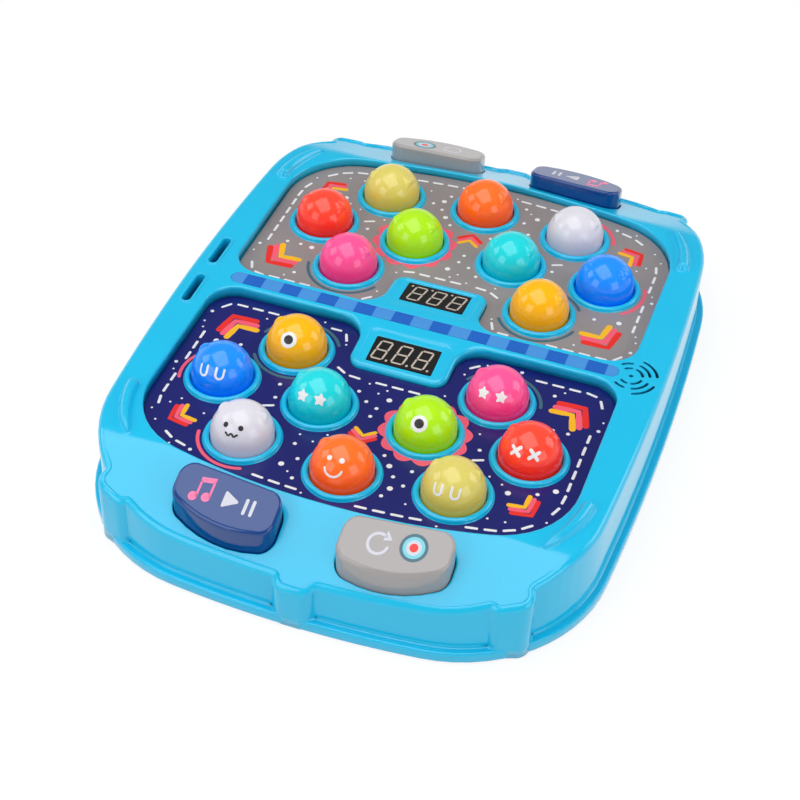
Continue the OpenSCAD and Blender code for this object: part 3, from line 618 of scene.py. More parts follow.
for tint, rgb in {"coral": (250, 96, 120), "red": (240, 44, 34), "amber": (252, 190, 30),
                  "teal": (62, 108, 124), "pink": (255, 120, 172), "aqua": (120, 212, 228)}.items():
    INK[tint] = plastic("ink_" + tint, srgb(*rgb), gloss=0.3, drift=0.06)
SEGMENT = plastic("segment_cream", srgb(196, 184, 172), gloss=0.3, drift=0.06)
# The crown and foot colour of each dome: the paler crown is a painted highlight, the deeper foot painted
# shade
DOMES = {
    "blue": ((24, 140, 250), (2, 112, 240)), "gold": ((246, 180, 4), (224, 150, 0)),
    "teal": ((26, 208, 214), (6, 178, 196)), "white": ((212, 210, 219), (188, 185, 200)),
    "orange": ((255, 112, 36), (248, 78, 4)), "lime": ((172, 228, 22), (146, 208, 2)),
    "pink": ((246, 84, 148), (232, 42, 118)), "red": ((255, 72, 50), (244, 30, 14)),
    "olive": ((214, 200, 104), (192, 174, 72))}
# Each dome also glows a little with painted light of its own colour
DOME_FINISH = {
    tint: plastic("dome_" + tint, srgb(*crown), gloss=0.12, drift=0.04, smudge=0.06, bump=0.008,
                  coat=0.08, glow=srgb(*foot), soft=0.2, painted_glow=0.2)
    for tint, (crown, foot) in DOMES.items()}


# The housing's shell: built flat, with heights over the top surface, cut across, then bent to the
# real heights. The first values say where the raised bead of the ends takes over from the rails' edge
END_FROM, END_RUN = 134.0, 18.0
RAIL_EDGE_R, BEAD_R, BEAD_W, COVE = 3.8, 2.9, 4.0, 1.6
# The recess's edge: its radius, what it gains round a boss, and where that fades along X
RECESS_EDGE, BOSS_EDGE, BOSS_EDGE_X = 1.3, 1.1, 46.0
# The raised lip of a slot, as distances out and up
SLOT_LIP = (
    (2.0, 0.0), (1.7, 0.0), (1.6, 0.1), (1.52, 0.5), (1.35, 0.74), (1.05, 0.8), (0.5, 0.8), (0.15, 0.66),
    (0.0, 0.3), (0.0, -SLOT_DEPTH))
# Each fan of sound holes: its middle and sweep in degrees, and its count
SOUND_FANS = ((45, 56, 3), (115, 30, 2))
# Where the flat mesh is cut, so that it can bend
BENDS_X = (15, 30, 46, 50, 54, 64, 74, 84, 92, 100, 112)
BENDS_Y = (
    0, 2, 4, 5, 5.8, 6.6, 7.5, 9, 12, 16, 24, 40, 70, 100, 122, 130, 135, 138.5, 141, 143, 144.5,
    145.8, 147, 148.2, 149.5, 151, 153, 156, 160, 166)


def over(z):
    """The height of a level plane, as seen from the top surface."""
    return lambda p: z - top_z(p.x, p.y)


def end_share(p):
    return ease((abs(p.y) - END_FROM) / END_RUN)


def bead_rise(y):
    share = max(0.0, (abs(y) - CREASE) / (HALF_L - CREASE))
    return BEAD_H * min(1.0, share + BEAD_LEAST)


def rim_station(rail, bead):
    """One ring of the top edge: round along the rails, a raised bead along the ends."""
    def grow(p):
        t = end_share(p)
        return -(rail[0] * (1 - t) + bead[0] * t)

    def height(p):
        t = end_share(p)
        return rail[1] * (1 - t) + (bead[1] * bead_rise(p.y) + bead[2]) * t
    return grow, height


def rim_stations():
    """Rings from the skin, over the edge and down the wall."""
    stations = [rim_station((4.15, 0.0), (4.25, 0.0, 0.0)),
                rim_station((RAIL_EDGE_R, 0.0), (BEAD_W, 0.0, 0.0))]
    beads = []
    for share in (2 / 3, 1 / 3, 0.0):
        rise = 0.5 + 0.5 * math.cos(math.pi * share)
        beads.append((BEAD_R + (BEAD_W - BEAD_R) * share, rise, 0.0))
    beads += [(BEAD_R * c, 1.0, -BEAD_R * s) for c, s in quarter((68, 45, 22, 0))]
    for (c, s), bead in zip(quarter((78, 66, 54, 42, 30, 16, 0)), beads):
        stations.append(rim_station((RAIL_EDGE_R * c, -RAIL_EDGE_R * s), bead))
    return stations


def ledge_room(p):
    """Share of the ledge's width that is free outside a point of the wall: none at a column's face."""
    if abs(p.y) < CORNER_MID.y and abs(p.x) > CORNER_MID.x:
        return 1.0
    mid, reach = end_arc(p.x)
    off = Vector((abs(p.x), abs(p.y))) - mid
    return min(1.0, max(0.0, (reach - off.length) / LEDGE))


def recess_edge(p):
    """Radius of the recess's upper edge: larger round the display's boss."""
    near_boss = ease((BOSS_EDGE_X - abs(p.x)) / PATCH_RUN) * ease((PATCH_Y - abs(p.y)) / PATCH_RUN)
    return RECESS_EDGE + BOSS_EDGE * near_boss


def fill_floors(bm):
    """Closes the two recesses with level floors that leave the moles' bores open."""
    low = [e for e in bm.edges if len(e.link_faces) == 1
           and all(abs(v.co.z - FLOOR_Z) < 0.01 for v in e.verts)]
    for side in HALVES.values():
        rim = [e for e in low if e.verts[0].co.y * side < 0]
        for x, y in MOLES.values():
            bore = start_loop(bm, plan(moved(circle_path(BORE_R), x * side, y * side), 0), FLOOR_Z)
            rim += ring_edges(bm, bore)
        bmesh.ops.triangle_fill(bm, use_beauty=True, edges=rim, normal=(0, 0, 1))


def opening(bm, path, lip_r, support, depth=0.0, floor=None, sink=0.0):
    """A hole in the skin with a rounded lip, down to a depth or a level floor; returns its outer ring."""
    stations = [(lip_r + support, -sink)]
    stations += [(lip_r * s, -sink - lip_r * c) for c, s in quarter((0, 30, 60, 90))]
    stations.append((0.0, over(floor) if floor else -depth))
    rings = loft(bm, path, stations)
    if floor:
        fill(bm, rings[-1])
    return rings[0]


def wall_stations():
    """The rim, the wall, and the cove that spreads into the ledge."""
    stations = rim_stations()
    for c, s in quarter((0, 30, 60, 80)):
        stations.append((lambda p, c=c: COVE * c * ledge_room(p), over(FLANGE_TOP + COVE * s - 0.02)))
    return stations + [(0.0, over(FLANGE_TOP - 0.4)), (0.0, over(FLANGE_LOW))]


def recess_stations():
    stations = [(lambda p: recess_edge(p) + 0.3, 0.0)]
    for c, s in quarter((0, 15, 30, 45, 60, 75, 90)):
        stations.append((lambda p, s=s: recess_edge(p) * s, lambda p, c=c: -recess_edge(p) * c))
    return stations + [(0.0, over(FLOOR_Z))]


def drop_stations():
    stations = [(0.7, 0.0), (0.3, 0.04)]
    for s in (0.97, 0.86, 0.72, 0.58, 0.44, 0.3, 0.14):
        stations.append((
            lambda p, s=s: -drop_radius(p) * (1 - s),
            lambda p, s=s: DROP_H * (drop_radius(p) / DROP_HEAD[2]) ** 0.6 * (1 - s * s)))
    return stations


def sunk_display(bm, side):
    """The shallow plate on a boss with the display's window in it; returns its outer ring."""
    plate = moved(rect_path(PLATE_W / 2, PLATE_D / 2, PLATE_ROUND), 0, side * PLATE_Y)
    step = loft(bm, plate, ((0.5, 0.0), (0.25, -0.04), (0.0, -0.5 * PLATE_SINK),
                            (-0.25, 0.04 - PLATE_SINK), (-0.5, -PLATE_SINK)))
    window = rect_path(DISPLAY_W / 2 + DROP_IN, DISPLAY_D / 2 + DROP_IN, 0.8)
    hole = opening(bm, moved(window, 0, side * DISPLAY_Y), 0.3, 0.3, depth=3.0, sink=PLATE_SINK)
    fill(bm, step[-1], hole)
    return step[0]


def build_shell():
    bm = bmesh.new()
    edges = [loft(bm, wall_path(), wall_stations())[0]]
    far_recess = recess_path()
    for path in (far_recess, half_turn(far_recess)):
        edges.append(loft(bm, path, recess_stations())[0])
    for path in four([(p + BUTTON_GAP * n, n) for p, n in button_path()]):
        edges.append(opening(bm, path, 0.7, 0.4, depth=4.0))
    for side in (-1, 1):
        edges.append(sunk_display(bm, side))
    strip = [(Vector((-p.y, p.x)), Vector((-n.y, n.x))) for p, n in
             stadium_path(STRIP_L / 2 + 0.2, STRIP_W / 2 + 0.2)]
    edges.append(opening(bm, strip, 0.25, 0.25, floor=STRIP_LOW))
    edges.append(opening(bm, moved(circle_path(1.2, 20), GRILLE_X, 0), 0.25, 0.25, depth=2.4))
    for middle, sweep, count in SOUND_FANS:
        for k, s in [(k, s) for k in range(count) for s in (-1, 1)]:
            path = arc_hole_path(GRILLE_R + k * GRILLE_STEP, s * middle, sweep)
            edges.append(opening(bm, moved(path, GRILLE_X, 0), 0.35, 0.1, depth=2.4))
    for side in (-1, 1):
        slot = moved(stadium_path(SLOT_L / 2, SLOT_W / 2), -SLOT_X, side * SLOT_Y)
        edges.append(loft(bm, slot, SLOT_LIP)[0])
    for path in four(drop_path()):
        rings = loft(bm, path, drop_stations())
        edges.append(rings[0])
        fill(bm, rings[-1])

    fill(bm, *edges)
    cut(bm, "y", sorted({s * b for b in BENDS_Y for s in (-1, 1)}))
    cut(bm, "x", [s * b for b in BENDS_X for s in (-1, 1)])
    for v in bm.verts:
        v.co.z += top_z(v.co.x, v.co.y)
    fill_floors(bm)
    return bm


shell = piece(build_shell(), "housing_shell", "housing", [HOUSING], "housing", ["top_shell"], sharp=50)
thick = shell.modifiers.new("wall", "SOLIDIFY")
thick.thickness = WALL * MM
thick.offset = -1


def build_flange():
    """The ledge round the foot, with a rounded upper edge."""
    bm = bmesh.new()
    edge_r, low_r, inner, foot = 1.3, 0.6, 7.0, 2.3
    stations = [(-inner, FLANGE_TOP), (-edge_r - 0.5, FLANGE_TOP)]
    stations += [(-edge_r * c, FLANGE_TOP - edge_r * s) for c, s in quarter((90, 72, 54, 36, 18, 0))]
    stations += [(-low_r * c, FLANGE_LOW + low_r * s) for c, s in quarter((0, 30, 60, 90))]
    stations += [(-foot, FLANGE_LOW), (-foot, FLANGE_LOW + 1.2), (-inner, FLANGE_LOW + 3.8)]
    rings = loft(bm, flange_path(0.02), stations)
    bmesh.ops.bridge_loops(bm, edges=ring_edges(bm, rings[0]) + ring_edges(bm, rings[-1]))
    return bm


piece(build_flange(), "housing_flange", "housing", [HOUSING], "housing", sharp=50)


def build_collars():
    """A rounded collar round each mole."""
    bm = bmesh.new()
    crown = (COLLAR_R - BORE_R) / 2
    mid = (COLLAR_R + BORE_R) / 2
    low = FLOOR_Z - 0.4
    profile = [(BORE_R, low)]
    for turn in range(180, -1, -20):
        a = math.radians(turn)
        profile.append((mid + crown * math.cos(a), COLLAR_TOP - crown + crown * math.sin(a)))
    profile += [(COLLAR_R + 0.1, PANEL_Z + 0.4), (COLLAR_R + 0.45, PANEL_Z + 0.02), (COLLAR_R, low),
                (BORE_R, low)]
    for _, side, _, x, y in all_moles():
        turned(bm, 64, (x * side, y * side), profile)
    return bm


piece(build_collars(), "mole_collars", "housing", [HOUSING], "housing")


# Moles

EARS = [Vector((s * 0.66, 0.16, 0.71)).normalized() for s in (-1, 1)]
EAR_R, EAR_H = 4.0, 1.3


def raise_ears(bm, at, side):
    """Lifts two low three-cornered bumps out of a dome."""
    for v in bm.verts:
        way = v.co - at
        if way.length < DOME_R - 0.1 or way.z < 0.3 * DOME_R:
            continue
        for ear in EARS:
            peak = Vector((ear.x * side, ear.y * side, ear.z))
            up = (Vector((0, 0, 1)) - peak * peak.z).normalized()
            u, w = way.dot(up.cross(peak)), way.dot(up)
            reach = EAR_R * (1 + 0.22 * math.cos(3 * (math.atan2(w, u) - math.pi / 2)))
            share = math.hypot(u, w) / reach
            if share < 1 and way.dot(peak) > 0:
                v.co += way.normalized() * EAR_H * (1 - share * share) ** 1.5


def build_mole(x, y, side):
    """A hollow dome on a skirt, with the flange that holds it in the housing."""
    bm = bmesh.new()
    profile = []
    for i in range(37):
        a = math.pi / 2 * (1 - i / 36)
        profile.append((DOME_R * math.cos(a), DOME_Z + DOME_R * math.sin(a)))
    low, inner = MOLE_LOW + MOLE_FLANGE_T, DOME_R - DOME_WALL
    profile += [(DOME_R, low + 0.6), (DOME_R, low), (MOLE_FLANGE_R, low), (MOLE_FLANGE_R, MOLE_LOW),
                (inner, MOLE_LOW), (inner, DOME_Z)]
    for i in range(1, 10):
        a = math.pi / 2 * i / 9
        profile.append((inner * math.cos(a), DOME_Z + inner * math.sin(a)))
    turned(bm, 112, (x, y), profile)
    raise_ears(bm, Vector((x, y, DOME_Z)), side)
    return bm


for half, side, tint, x, y in all_moles():
    node = f"{half}_mole_{tint}"
    bm = build_mole(x * side, y * side, side)
    piece(bm, "dome_" + node, node, [DOME_FINISH[tint]], "mole_" + tint, [node], sharp=60)


# Return cups: they stand on the boards and squeeze under the moles

BOARD_Z, CUP_TOP, CUP_FOOT_R, CUP_RIM_R, CUP_SEAT_R, CUP_WALL = 25.6, 36.8, 18.4, 16.2, 13.5, 1.3


def build_cup(x, y):
    """A foot ring, a thin cone and a rim under the mole's flange."""
    bm = bmesh.new()
    foot_top, rim_low = BOARD_Z + 1.4, CUP_TOP - 2.2
    foot_in, cone = CUP_FOOT_R - 3.2, CUP_FOOT_R - 1
    profile = [(foot_in, BOARD_Z), (CUP_FOOT_R, BOARD_Z), (CUP_FOOT_R, foot_top), (cone, foot_top),
               (CUP_RIM_R, rim_low), (CUP_RIM_R, CUP_TOP), (CUP_SEAT_R, CUP_TOP),
               (CUP_SEAT_R, rim_low), (CUP_RIM_R - CUP_WALL, rim_low - 0.6),
               (cone - CUP_WALL, foot_top), (foot_in, BOARD_Z)]
    turned(bm, 48, (x, y), profile)
    return bm


for half, side, tint, x, y in all_moles():
    node = f"{half}_cup_{tint}"
    bm = build_cup(x * side, y * side)
    cup = piece(bm, "return_" + node, "housing", [SILICONE], "silicone", [node], sharp=35)
    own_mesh(cup)


# Faces: printed marks laid on the domes

FACE_UP = math.radians(42)
FACE_OUT = Vector((0, -math.cos(FACE_UP), math.sin(FACE_UP)))
FACE_TOP = Vector((0, math.sin(FACE_UP), math.cos(FACE_UP)))
MARK_T = 0.1


def on_dome(u, v, raised):
    """The point of the near player's side of a dome at u across and v up the face."""
    way = (FACE_OUT * DOME_R + Vector((u, 0, 0)) + FACE_TOP * v).normalized()
    return way * (DOME_R + raised)


def mark_faces(faces, number, place):
    """Gives flat mark faces their finish and lays them where place says."""
    for f in faces:
        f.material_index = number
    for v in {v for f in faces for v in f.verts}:
        v.co = place(v.co.x, v.co.y)


def thicken(bm, thickness, out=lambda f: Vector((0, 0, 1))):
    """Turns laid marks to face outwards and gives them a thickness."""
    bmesh.ops.recalc_face_normals(bm, faces=bm.faces)
    for f in bm.faces:
        if f.normal.dot(out(f)) < 0:
            f.normal_flip()
    bmesh.ops.solidify(bm, geom=bm.faces[:], thickness=thickness)


def stroke(bm, line, width):
    """A pen stroke along a line of (u, v) points, with round ends; returns its faces."""
    line = [Vector(p) for p in line]
    half = width / 2
    ways = [(after - before).normalized()
            for before, after in zip(line[:1] + line, line[1:] + line[-1:])]
    caps = [(math.sin(math.radians(a)), math.cos(math.radians(a))) for a in (75, 50, 25)]
    start = [(line[0] - ways[0] * half * s, ways[0], half * c) for s, c in caps]
    end = [(line[-1] + ways[-1] * half * s, ways[-1], half * c) for s, c in reversed(caps)]
    rows = []
    for p, w, reach in start + [(p, w, half) for p, w in zip(line, ways)] + end:
        across = Vector((-w.y, w.x)) * reach
        rows.append((p - across, p + across))
    before = set(bm.faces)
    a, b = (bm.verts.new((*q, 0)) for q in rows[0])
    edge = bm.edges.new((a, b))
    for left, right in rows[1:]:
        a, b = twins(bmesh.ops.extrude_edge_only(bm, edges=[edge]), (a, b))
        a.co, b.co = (*left, 0), (*right, 0)
        edge = bm.edges.get((a, b))
    return [f for f in bm.faces if f not in before]


def ringed(bm, rings, middle=None):
    """Faces between closed rings of points, and round a middle point if one is given; returns them."""
    before = set(bm.faces)
    ring = start_loop(bm, rings[0], 0.0)
    if middle is not None:
        tip = bm.verts.new((*middle, 0))
        for pair in zip(ring, ring[1:] + ring[:1]):
            bm.faces.new((*pair, tip))
    for points in rings[1:]:
        ring = grow_loop(bm, ring, points, 0.0)
    return [f for f in bm.faces if f not in before]


def disc(bm, u, v, radius, inner=0.0, steps=28):
    """A disc or a ring, in narrow bands of faces so that it can lie on a dome."""
    count = max(1, math.ceil((radius - inner) / 1.1))
    first = inner if inner else radius / count
    spans = count if inner else count - 1
    radii = [first] + [first + (radius - first) * (i + 1) / spans for i in range(spans)]
    path, at = circle_path(1.0, steps), Vector((u, v))
    return ringed(bm, [[at + p * r for p, _ in path] for r in radii], None if inner else at)


def star(bm, u, v, radius):
    """A star with five blunt points."""
    points, waist = 5, 0.6
    at = Vector((u, v))
    rim = []
    for i in range(points):
        a = math.pi / 2 + i * math.tau / points
        rim += [at + radius * 0.97 * toward(a + off) for off in (-0.09, 0.09)]
        rim.append(at + radius * waist * toward(a + math.pi / points))
    return ringed(bm, [[at + (p - at) * 0.5 for p in rim], rim], at)


def curve_line(centre, radius, start, end, steps=10):
    turns = [math.radians(start + (end - start) * i / steps) for i in range(steps + 1)]
    return [(centre[0] + radius * math.cos(a), centre[1] + radius * math.sin(a)) for a in turns]


def u_line(u, v, half, height):
    """The line of a round-bottomed U."""
    top = v + height / 2
    bowl = v - height / 2 + half
    return ([(u - half, top), (u - half, (top + bowl) / 2)] + curve_line((u, bowl), half, 180, 360, 8)
            + [(u + half, (top + bowl) / 2), (u + half, top)])


def face_marks(bm, tint):
    """The face of one mole as (faces, finish number): 0 is white ink, 1 is dark ink."""
    if tint in ("blue", "olive"):
        return [(stroke(bm, u_line(s * 4.9, -1.4, 2.3, 6.0), 1.35), 0) for s in (-1, 1)]
    if tint in ("gold", "lime"):
        return [(disc(bm, 0, 1.4, 4.7, 2.55), 0), (disc(bm, 0, 1.4, 2.6), 1)]
    if tint in ("teal", "pink"):
        return [(star(bm, s * 5.4, 0.0, 3.8), 0) for s in (-1, 1)]
    if tint == "red":
        arms = []
        for s in (-1, 1):
            for lean in (-1, 1):
                line = [(s * 5.3 + t * 2.5, lean * t * 2.2) for t in (-1, -0.4, 0.4, 1)]
                arms.append((stroke(bm, line, 2.0), 0))
        return arms
    if tint == "white":
        wave = [(t, -2.55 + 0.62 * math.cos(t * 1.9)) for t in (i * 0.3 - 3.3 for i in range(23))]
        return [(disc(bm, s * 4.4, 2.2, 1.5), 1) for s in (-1, 1)] + [(stroke(bm, wave, 1.1), 1)]
    smile = curve_line((0, -0.4), 4.9, 192, 348, 14)
    return [(disc(bm, s * 3.6, 4.4, 1.5), 0) for s in (-1, 1)] + [(stroke(bm, smile, 1.2), 0)]


def build_face(tint, x, y, side):
    bm = bmesh.new()
    at = Vector((x, y, DOME_Z))
    turn = Matrix.Rotation(0 if side > 0 else math.pi, 3, "Z")
    for order, (faces, number) in enumerate(face_marks(bm, tint)):
        raised = MARK_T + 0.02 * order
        mark_faces(faces, number, lambda u, v: at + turn @ on_dome(u, v, raised))
    thicken(bm, MARK_T * 1.6, lambda f: f.calc_center_median() - at)
    return bm


for half, side, tint, x, y in all_moles():
    bm = build_face(tint, x * side, y * side, side)
    piece(bm, f"face_{half}_{tint}", f"{half}_mole_{tint}", [INK["white"], INK["dark"]], sharp=60)


# Buttons

BUTTON_SIDES = {
    "near_left": (half_turn, NAVY_CAP, "button_navy"), "near_right": (flip_y, GREY_CAP, "button_grey"),
    "far_left": (flip_x, GREY_CAP, "button_grey"), "far_right": (list, NAVY_CAP, "button_navy")}


def build_button(path):
    """A cap with upright sides and a rounded top edge; its top slopes less than the deck."""
    bm = bmesh.new()
    stations = [(0.0, lambda p: deck_z(p.y) - 4.0)]
    for c, s in quarter((0, 12, 24, 36, 48, 60, 72, 82, 90)):
        stations.append((-BUTTON_EDGE * c, lambda p, s=s: button_z(p.y) - BUTTON_EDGE * s))
    stations.append((-BUTTON_EDGE - 0.5, lambda p: button_z(p.y)))
    rings = loft(bm, path, stations)
    fill(bm, rings[-1])
    fill(bm, rings[0])
    return bm


for spot, (place, finish, slot) in BUTTON_SIDES.items():
    node = spot + "_button"
    piece(build_button(place(button_path())), "cap_" + node, node, [finish], slot, [node], sharp=50)


def flat_shape(bm, points):
    """One flat face from its corner points."""
    return [bm.faces.new([bm.verts.new((x, y, 0)) for x, y in points])]


def icon_note(bm, u, v):
    """Two joined music notes."""
    marks = []
    for x, y in ((u - 3.4, v), (u + 3.4, v + 1.0)):
        marks += disc(bm, x - 1.0, y - 4.3, 2.4)
        stem = [(x + 0.2, y - 4.4), (x + 1.4, y - 4.4), (x + 1.4, y + 4.6), (x + 0.2, y + 4.6)]
        marks += flat_shape(bm, stem)
    beam = [(u - 3.2, v + 3.6), (u + 4.8, v + 4.6), (u + 4.8, v + 7.3), (u - 3.2, v + 6.3)]
    return marks + flat_shape(bm, beam)


def icon_play(bm, u, v):
    """A triangle with soft corners and two upright bars."""
    rim = []
    for x, y in ((-3.0, -3.4), (3.6, 0.0), (-3.0, 3.4)):
        facing = math.degrees(math.atan2(y, x))
        rim += curve_line((u + x, v + y), 0.76, facing - 55, facing + 55, 5)
    marks = flat_shape(bm, rim)
    for x in (8.7, 12.5):
        marks += stroke(bm, [(u + x, v - 4.5), (u + x, v + 2.4)], 1.75)
    return marks


def icon_again(bm, u, v):
    """A round arrow."""
    marks = stroke(bm, curve_line((u, v), 5.2, 60, 350, 22), 1.5)
    return marks + flat_shape(bm, [(u + 1.9, v + 2.2), (u + 6.4, v + 3.2), (u + 2.9, v + 7.4)])


def build_icons(spot):
    """The printed signs of one button, drawn for the near player and turned for the far one."""
    bm = bmesh.new()
    side = 1 if spot.startswith("near") else -1
    if spot in ("near_left", "far_right"):
        parts = [(icon_note(bm, -57.8, -165.8), 1), (icon_play(bm, -42.6, -167.3), 0)]
    else:
        parts = [(icon_again(bm, 36.8, -167.7), 0)]
        for outer, inner, number in ((7.2, 5.6, 2), (5.6, 3.9, 3), (3.9, 2.2, 0), (2.2, 0, 4)):
            parts.append((disc(bm, 54.6, -165.1, outer, inner), number))
    for faces, number in parts:
        mark_faces(faces, number, lambda x, y: Vector((side * x, side * y, button_z(y) + 0.06)))
    bmesh.ops.remove_doubles(bm, verts=bm.verts, dist=1e-4)
    thicken(bm, 0.1)
    return bm


for spot in BUTTON_SIDES:
    inks = [INK[tint] for tint in ("pale", "pink", "teal", "aqua", "red")]
    piece(build_icons(spot), "icons_" + spot, spot + "_button", inks, sharp=60)


# Displays: three unlit seven-segment digits each

DIGIT_H, DIGIT_W, DIGIT_PITCH, DIGIT_LEAN, SEGMENT_W = 13.6, 6.6, 12.0, 0.16, 1.05


def segment_bar(bm, a, b):
    """A bar with pointed ends from a to b."""
    a, b = Vector(a), Vector(b)
    way = (b - a).normalized()
    across = Vector((-way.y, way.x)) * SEGMENT_W / 2
    tip = way * SEGMENT_W / 2
    a, b = a + way * 0.14, b - way * 0.14
    rim = (a, a + tip - across, b - tip - across, b, b - tip + across, a + tip + across)
    flat_shape(bm, [tuple(q) for q in rim])


def build_digits(side):
    bm = bmesh.new()
    w, h = DIGIT_W / 2, DIGIT_H / 2
    for i in (-1, 0, 1):
        corners = {(sx, sy): (i * DIGIT_PITCH - 0.9 + sx * w + sy * h * DIGIT_LEAN, sy * h)
                   for sx in (-1, 1) for sy in (-1, 0, 1)}
        pairs = [((-1, level), (1, level)) for level in (-1, 0, 1)]
        pairs += [((s, level), (s, level + 1)) for s in (-1, 1) for level in (-1, 0)]
        for a, b in pairs:
            segment_bar(bm, corners[a], corners[b])
        disc(bm, i * DIGIT_PITCH + w + 0.7, -h, 0.75, steps=14)
    for v in bm.verts:
        x, y = v.co.x, v.co.y - DISPLAY_Y
        v.co = (side * x, side * y, boss_z(y) - DISPLAY_SINK + 0.04)
    thicken(bm, 0.08)
    return bm


for half, side in HALVES.items():
    piece(build_digits(side), "digits_" + half, "housing", [SEGMENT], sharp=60)


# Prints on the panels: plain shapes in a layout of their own, drawn for the near panel

PRINT_INKS = ("white", "coral", "red", "amber", "teal")
# Part rings round collars: the mole, the start and the end in degrees, and the ink
RING_PARTS = (
    ("gold", 30, 160, "teal"), ("gold", 210, 320, "teal"), ("pink", 10, 150, "teal"),
    ("white", 190, 290, "coral"), ("blue", 130, 200, "coral"))
# Chevrons: place, facing in degrees, and size
CHEVRONS = (
    (-99, -31, 130, 11.0), (101, -33, 55, 11.0), (-97, -113, 222, 8.0), (97, -112, -42, 8.0),
    (0, -93, -90, 7.0))
LOOPS = ((-59, -79), (59.5, -78))
LOOP_R = 9.5
DASH, DASH_GAP, DASH_W, DASH_ROOM = 5.4, 4.2, 1.55, 4.2
# Dots: radius and the count of each size, out of so many tries
DOTS, DOT_TRIES = ((1.6, 8), (1.1, 26), (0.65, 70)), 900


def inside(polygon, x, y):
    """Whether a point lies in a polygon."""
    hit = False
    for (ax, ay), (bx, by) in zip(polygon, polygon[1:] + polygon[:1]):
        if (ay > y) != (by > y) and x < ax + (y - ay) * (bx - ax) / (by - ay):
            hit = not hit
    return hit


NEAR_RECESS = half_turn(recess_path())


def panel_room(margin):
    """The near panel's outline, drawn in by a margin."""
    return [tuple(p) for p in plan(NEAR_RECESS, -margin)]


def clear_of_collars(x, y, margin):
    return all(math.hypot(x - mx, y - my) > COLLAR_R + margin for mx, my in MOLES.values())


def petals(bm, at, inner, outer, count):
    """A ring with a scalloped edge."""
    steps = 12
    turns = [i * math.tau / (count * steps) for i in range(count * steps)]
    centre = Vector(at)
    reach = [inner + (outer - inner) * (0.35 + 0.65 * abs(math.sin(a * count / 2))) for a in turns]
    return ringed(bm, [[centre + toward(a) * inner for a in turns],
                       [centre + toward(a) * r for a, r in zip(turns, reach)]])


def ring_part(bm, at, radius, width, start, end):
    return stroke(bm, curve_line(at, radius, start, end, max(4, int(abs(end - start) / 6))), width)


def chevrons(bm, at, facing, size):
    """Three nested angles, from the foremost to the last."""
    way = toward(math.radians(facing))
    across = Vector((-way.y, way.x))
    sets = []
    for back in (0.0, 0.42, 0.84):
        tip = Vector(at) + way * size * (0.6 - back)
        arms = [tip + (across * s - way * 0.8) * size * (1 - 0.25 * back) for s in (1, -1)]
        line = [arms[0], (arms[0] + tip) / 2, tip, (arms[1] + tip) / 2, arms[1]]
        sets.append(stroke(bm, [tuple(p) for p in line], size * 0.33))
    return sets


def along(line, step):
    """Places and directions at even steps along a line of points."""
    run = 0.0
    for (ax, ay), (bx, by) in zip(line, line[1:]):
        span = math.hypot(bx - ax, by - ay)
        while run < span:
            t = run / span
            yield Vector((ax + (bx - ax) * t, ay + (by - ay) * t)), Vector((bx - ax, by - ay)) / span
            run += step
        run -= span


def build_print(side):
    """Dashes, dots, rings, chevrons and petals between the collars."""
    bm = bmesh.new()
    rng = random.Random(7)
    number = {tint: i for i, tint in enumerate(PRINT_INKS)}
    parts = [(petals(bm, MOLES["lime"], COLLAR_R - 0.4, COLLAR_R + 4.5, 12), "coral")]
    taken = [(*MOLES["lime"], COLLAR_R + 4.6)]
    for tint, start, end, ink in RING_PARTS:
        parts.append((ring_part(bm, MOLES[tint], COLLAR_R + 2.8, 1.9, start, end), ink))
        taken.append((*MOLES[tint], COLLAR_R + 4.2))
    for x, y, facing, size in CHEVRONS:
        parts += zip(chevrons(bm, (x, y), facing, size), ("red", "coral", "amber"))
        taken.append((x, y, size * 1.3))
    room = panel_room(3.2)

    def free(x, y, margin):
        return (inside(room, x, y) and clear_of_collars(x, y, margin + 0.6)
                and all(math.hypot(x - tx, y - ty) > reach + margin for tx, ty, reach in taken))

    border = panel_room(7.5)
    xs = range(-112, 113, 2)
    waves = [[(x, -60 + s * 34 * math.cos(math.pi * x / 61)) for x in xs] for s in (1, -1)]
    loops = [curve_line(at, LOOP_R, 0, 360, 24) for at in LOOPS]
    for line in [border + border[:1]] + waves + loops:
        for at, way in along(line, DASH + DASH_GAP):
            ends = [tuple(at - way * DASH / 2), tuple(at + way * DASH / 2)]
            if all(free(*p, 0.8) for p in ends + [tuple(at)]):
                parts.append((stroke(bm, ends, DASH_W), "white"))
                taken.append((*at, DASH_ROOM))
    for radius, count in DOTS:
        for _ in range(DOT_TRIES):
            x, y = rng.uniform(-118, 118), rng.uniform(-143, -9)
            if count and free(x, y, radius + 1.0):
                parts.append((disc(bm, x, y, radius, steps=14), "white"))
                taken.append((x, y, radius + 2.5))
                count -= 1
    for faces, ink in parts:
        mark_faces(faces, number[ink], lambda x, y: Vector((side * x, side * y, PANEL_Z + 0.05)))
    thicken(bm, 0.06)
    return bm


for half, side in HALVES.items():
    inks = [INK[tint] for tint in PRINT_INKS]
    piece(build_print(side), "print_" + half, "housing", inks, sharp=60)


# Finishes of the CAD nodes that stay

NODE_FINISH = {
    "base_cover": BASE, "near_panel": NAVY_FILM, "far_panel": GREY_FILM, "centre_strip": STRIP,
    "near_display": LENS, "far_display": LENS, "near_board": BOARD, "far_board": BOARD,
    "button_switches": BLACK, "mole_lights": LIGHT, "speaker": BLACK, "battery_door": BASE,
    "battery_cells": CELL, "battery_contacts": STEEL, "power_switch": BLACK, "screws": STEEL,
    "feet": RUBBER}
for node, finish in NODE_FINISH.items():
    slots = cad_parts[node].data.materials
    slots.clear()
    slots.append(finish)


# Floor, light and camera. The lamps face the middle of the housing, from so far away in metres
LAMPS_FACE, LAMPS_AWAY = Vector((0, 0, 0.045)), 1.2


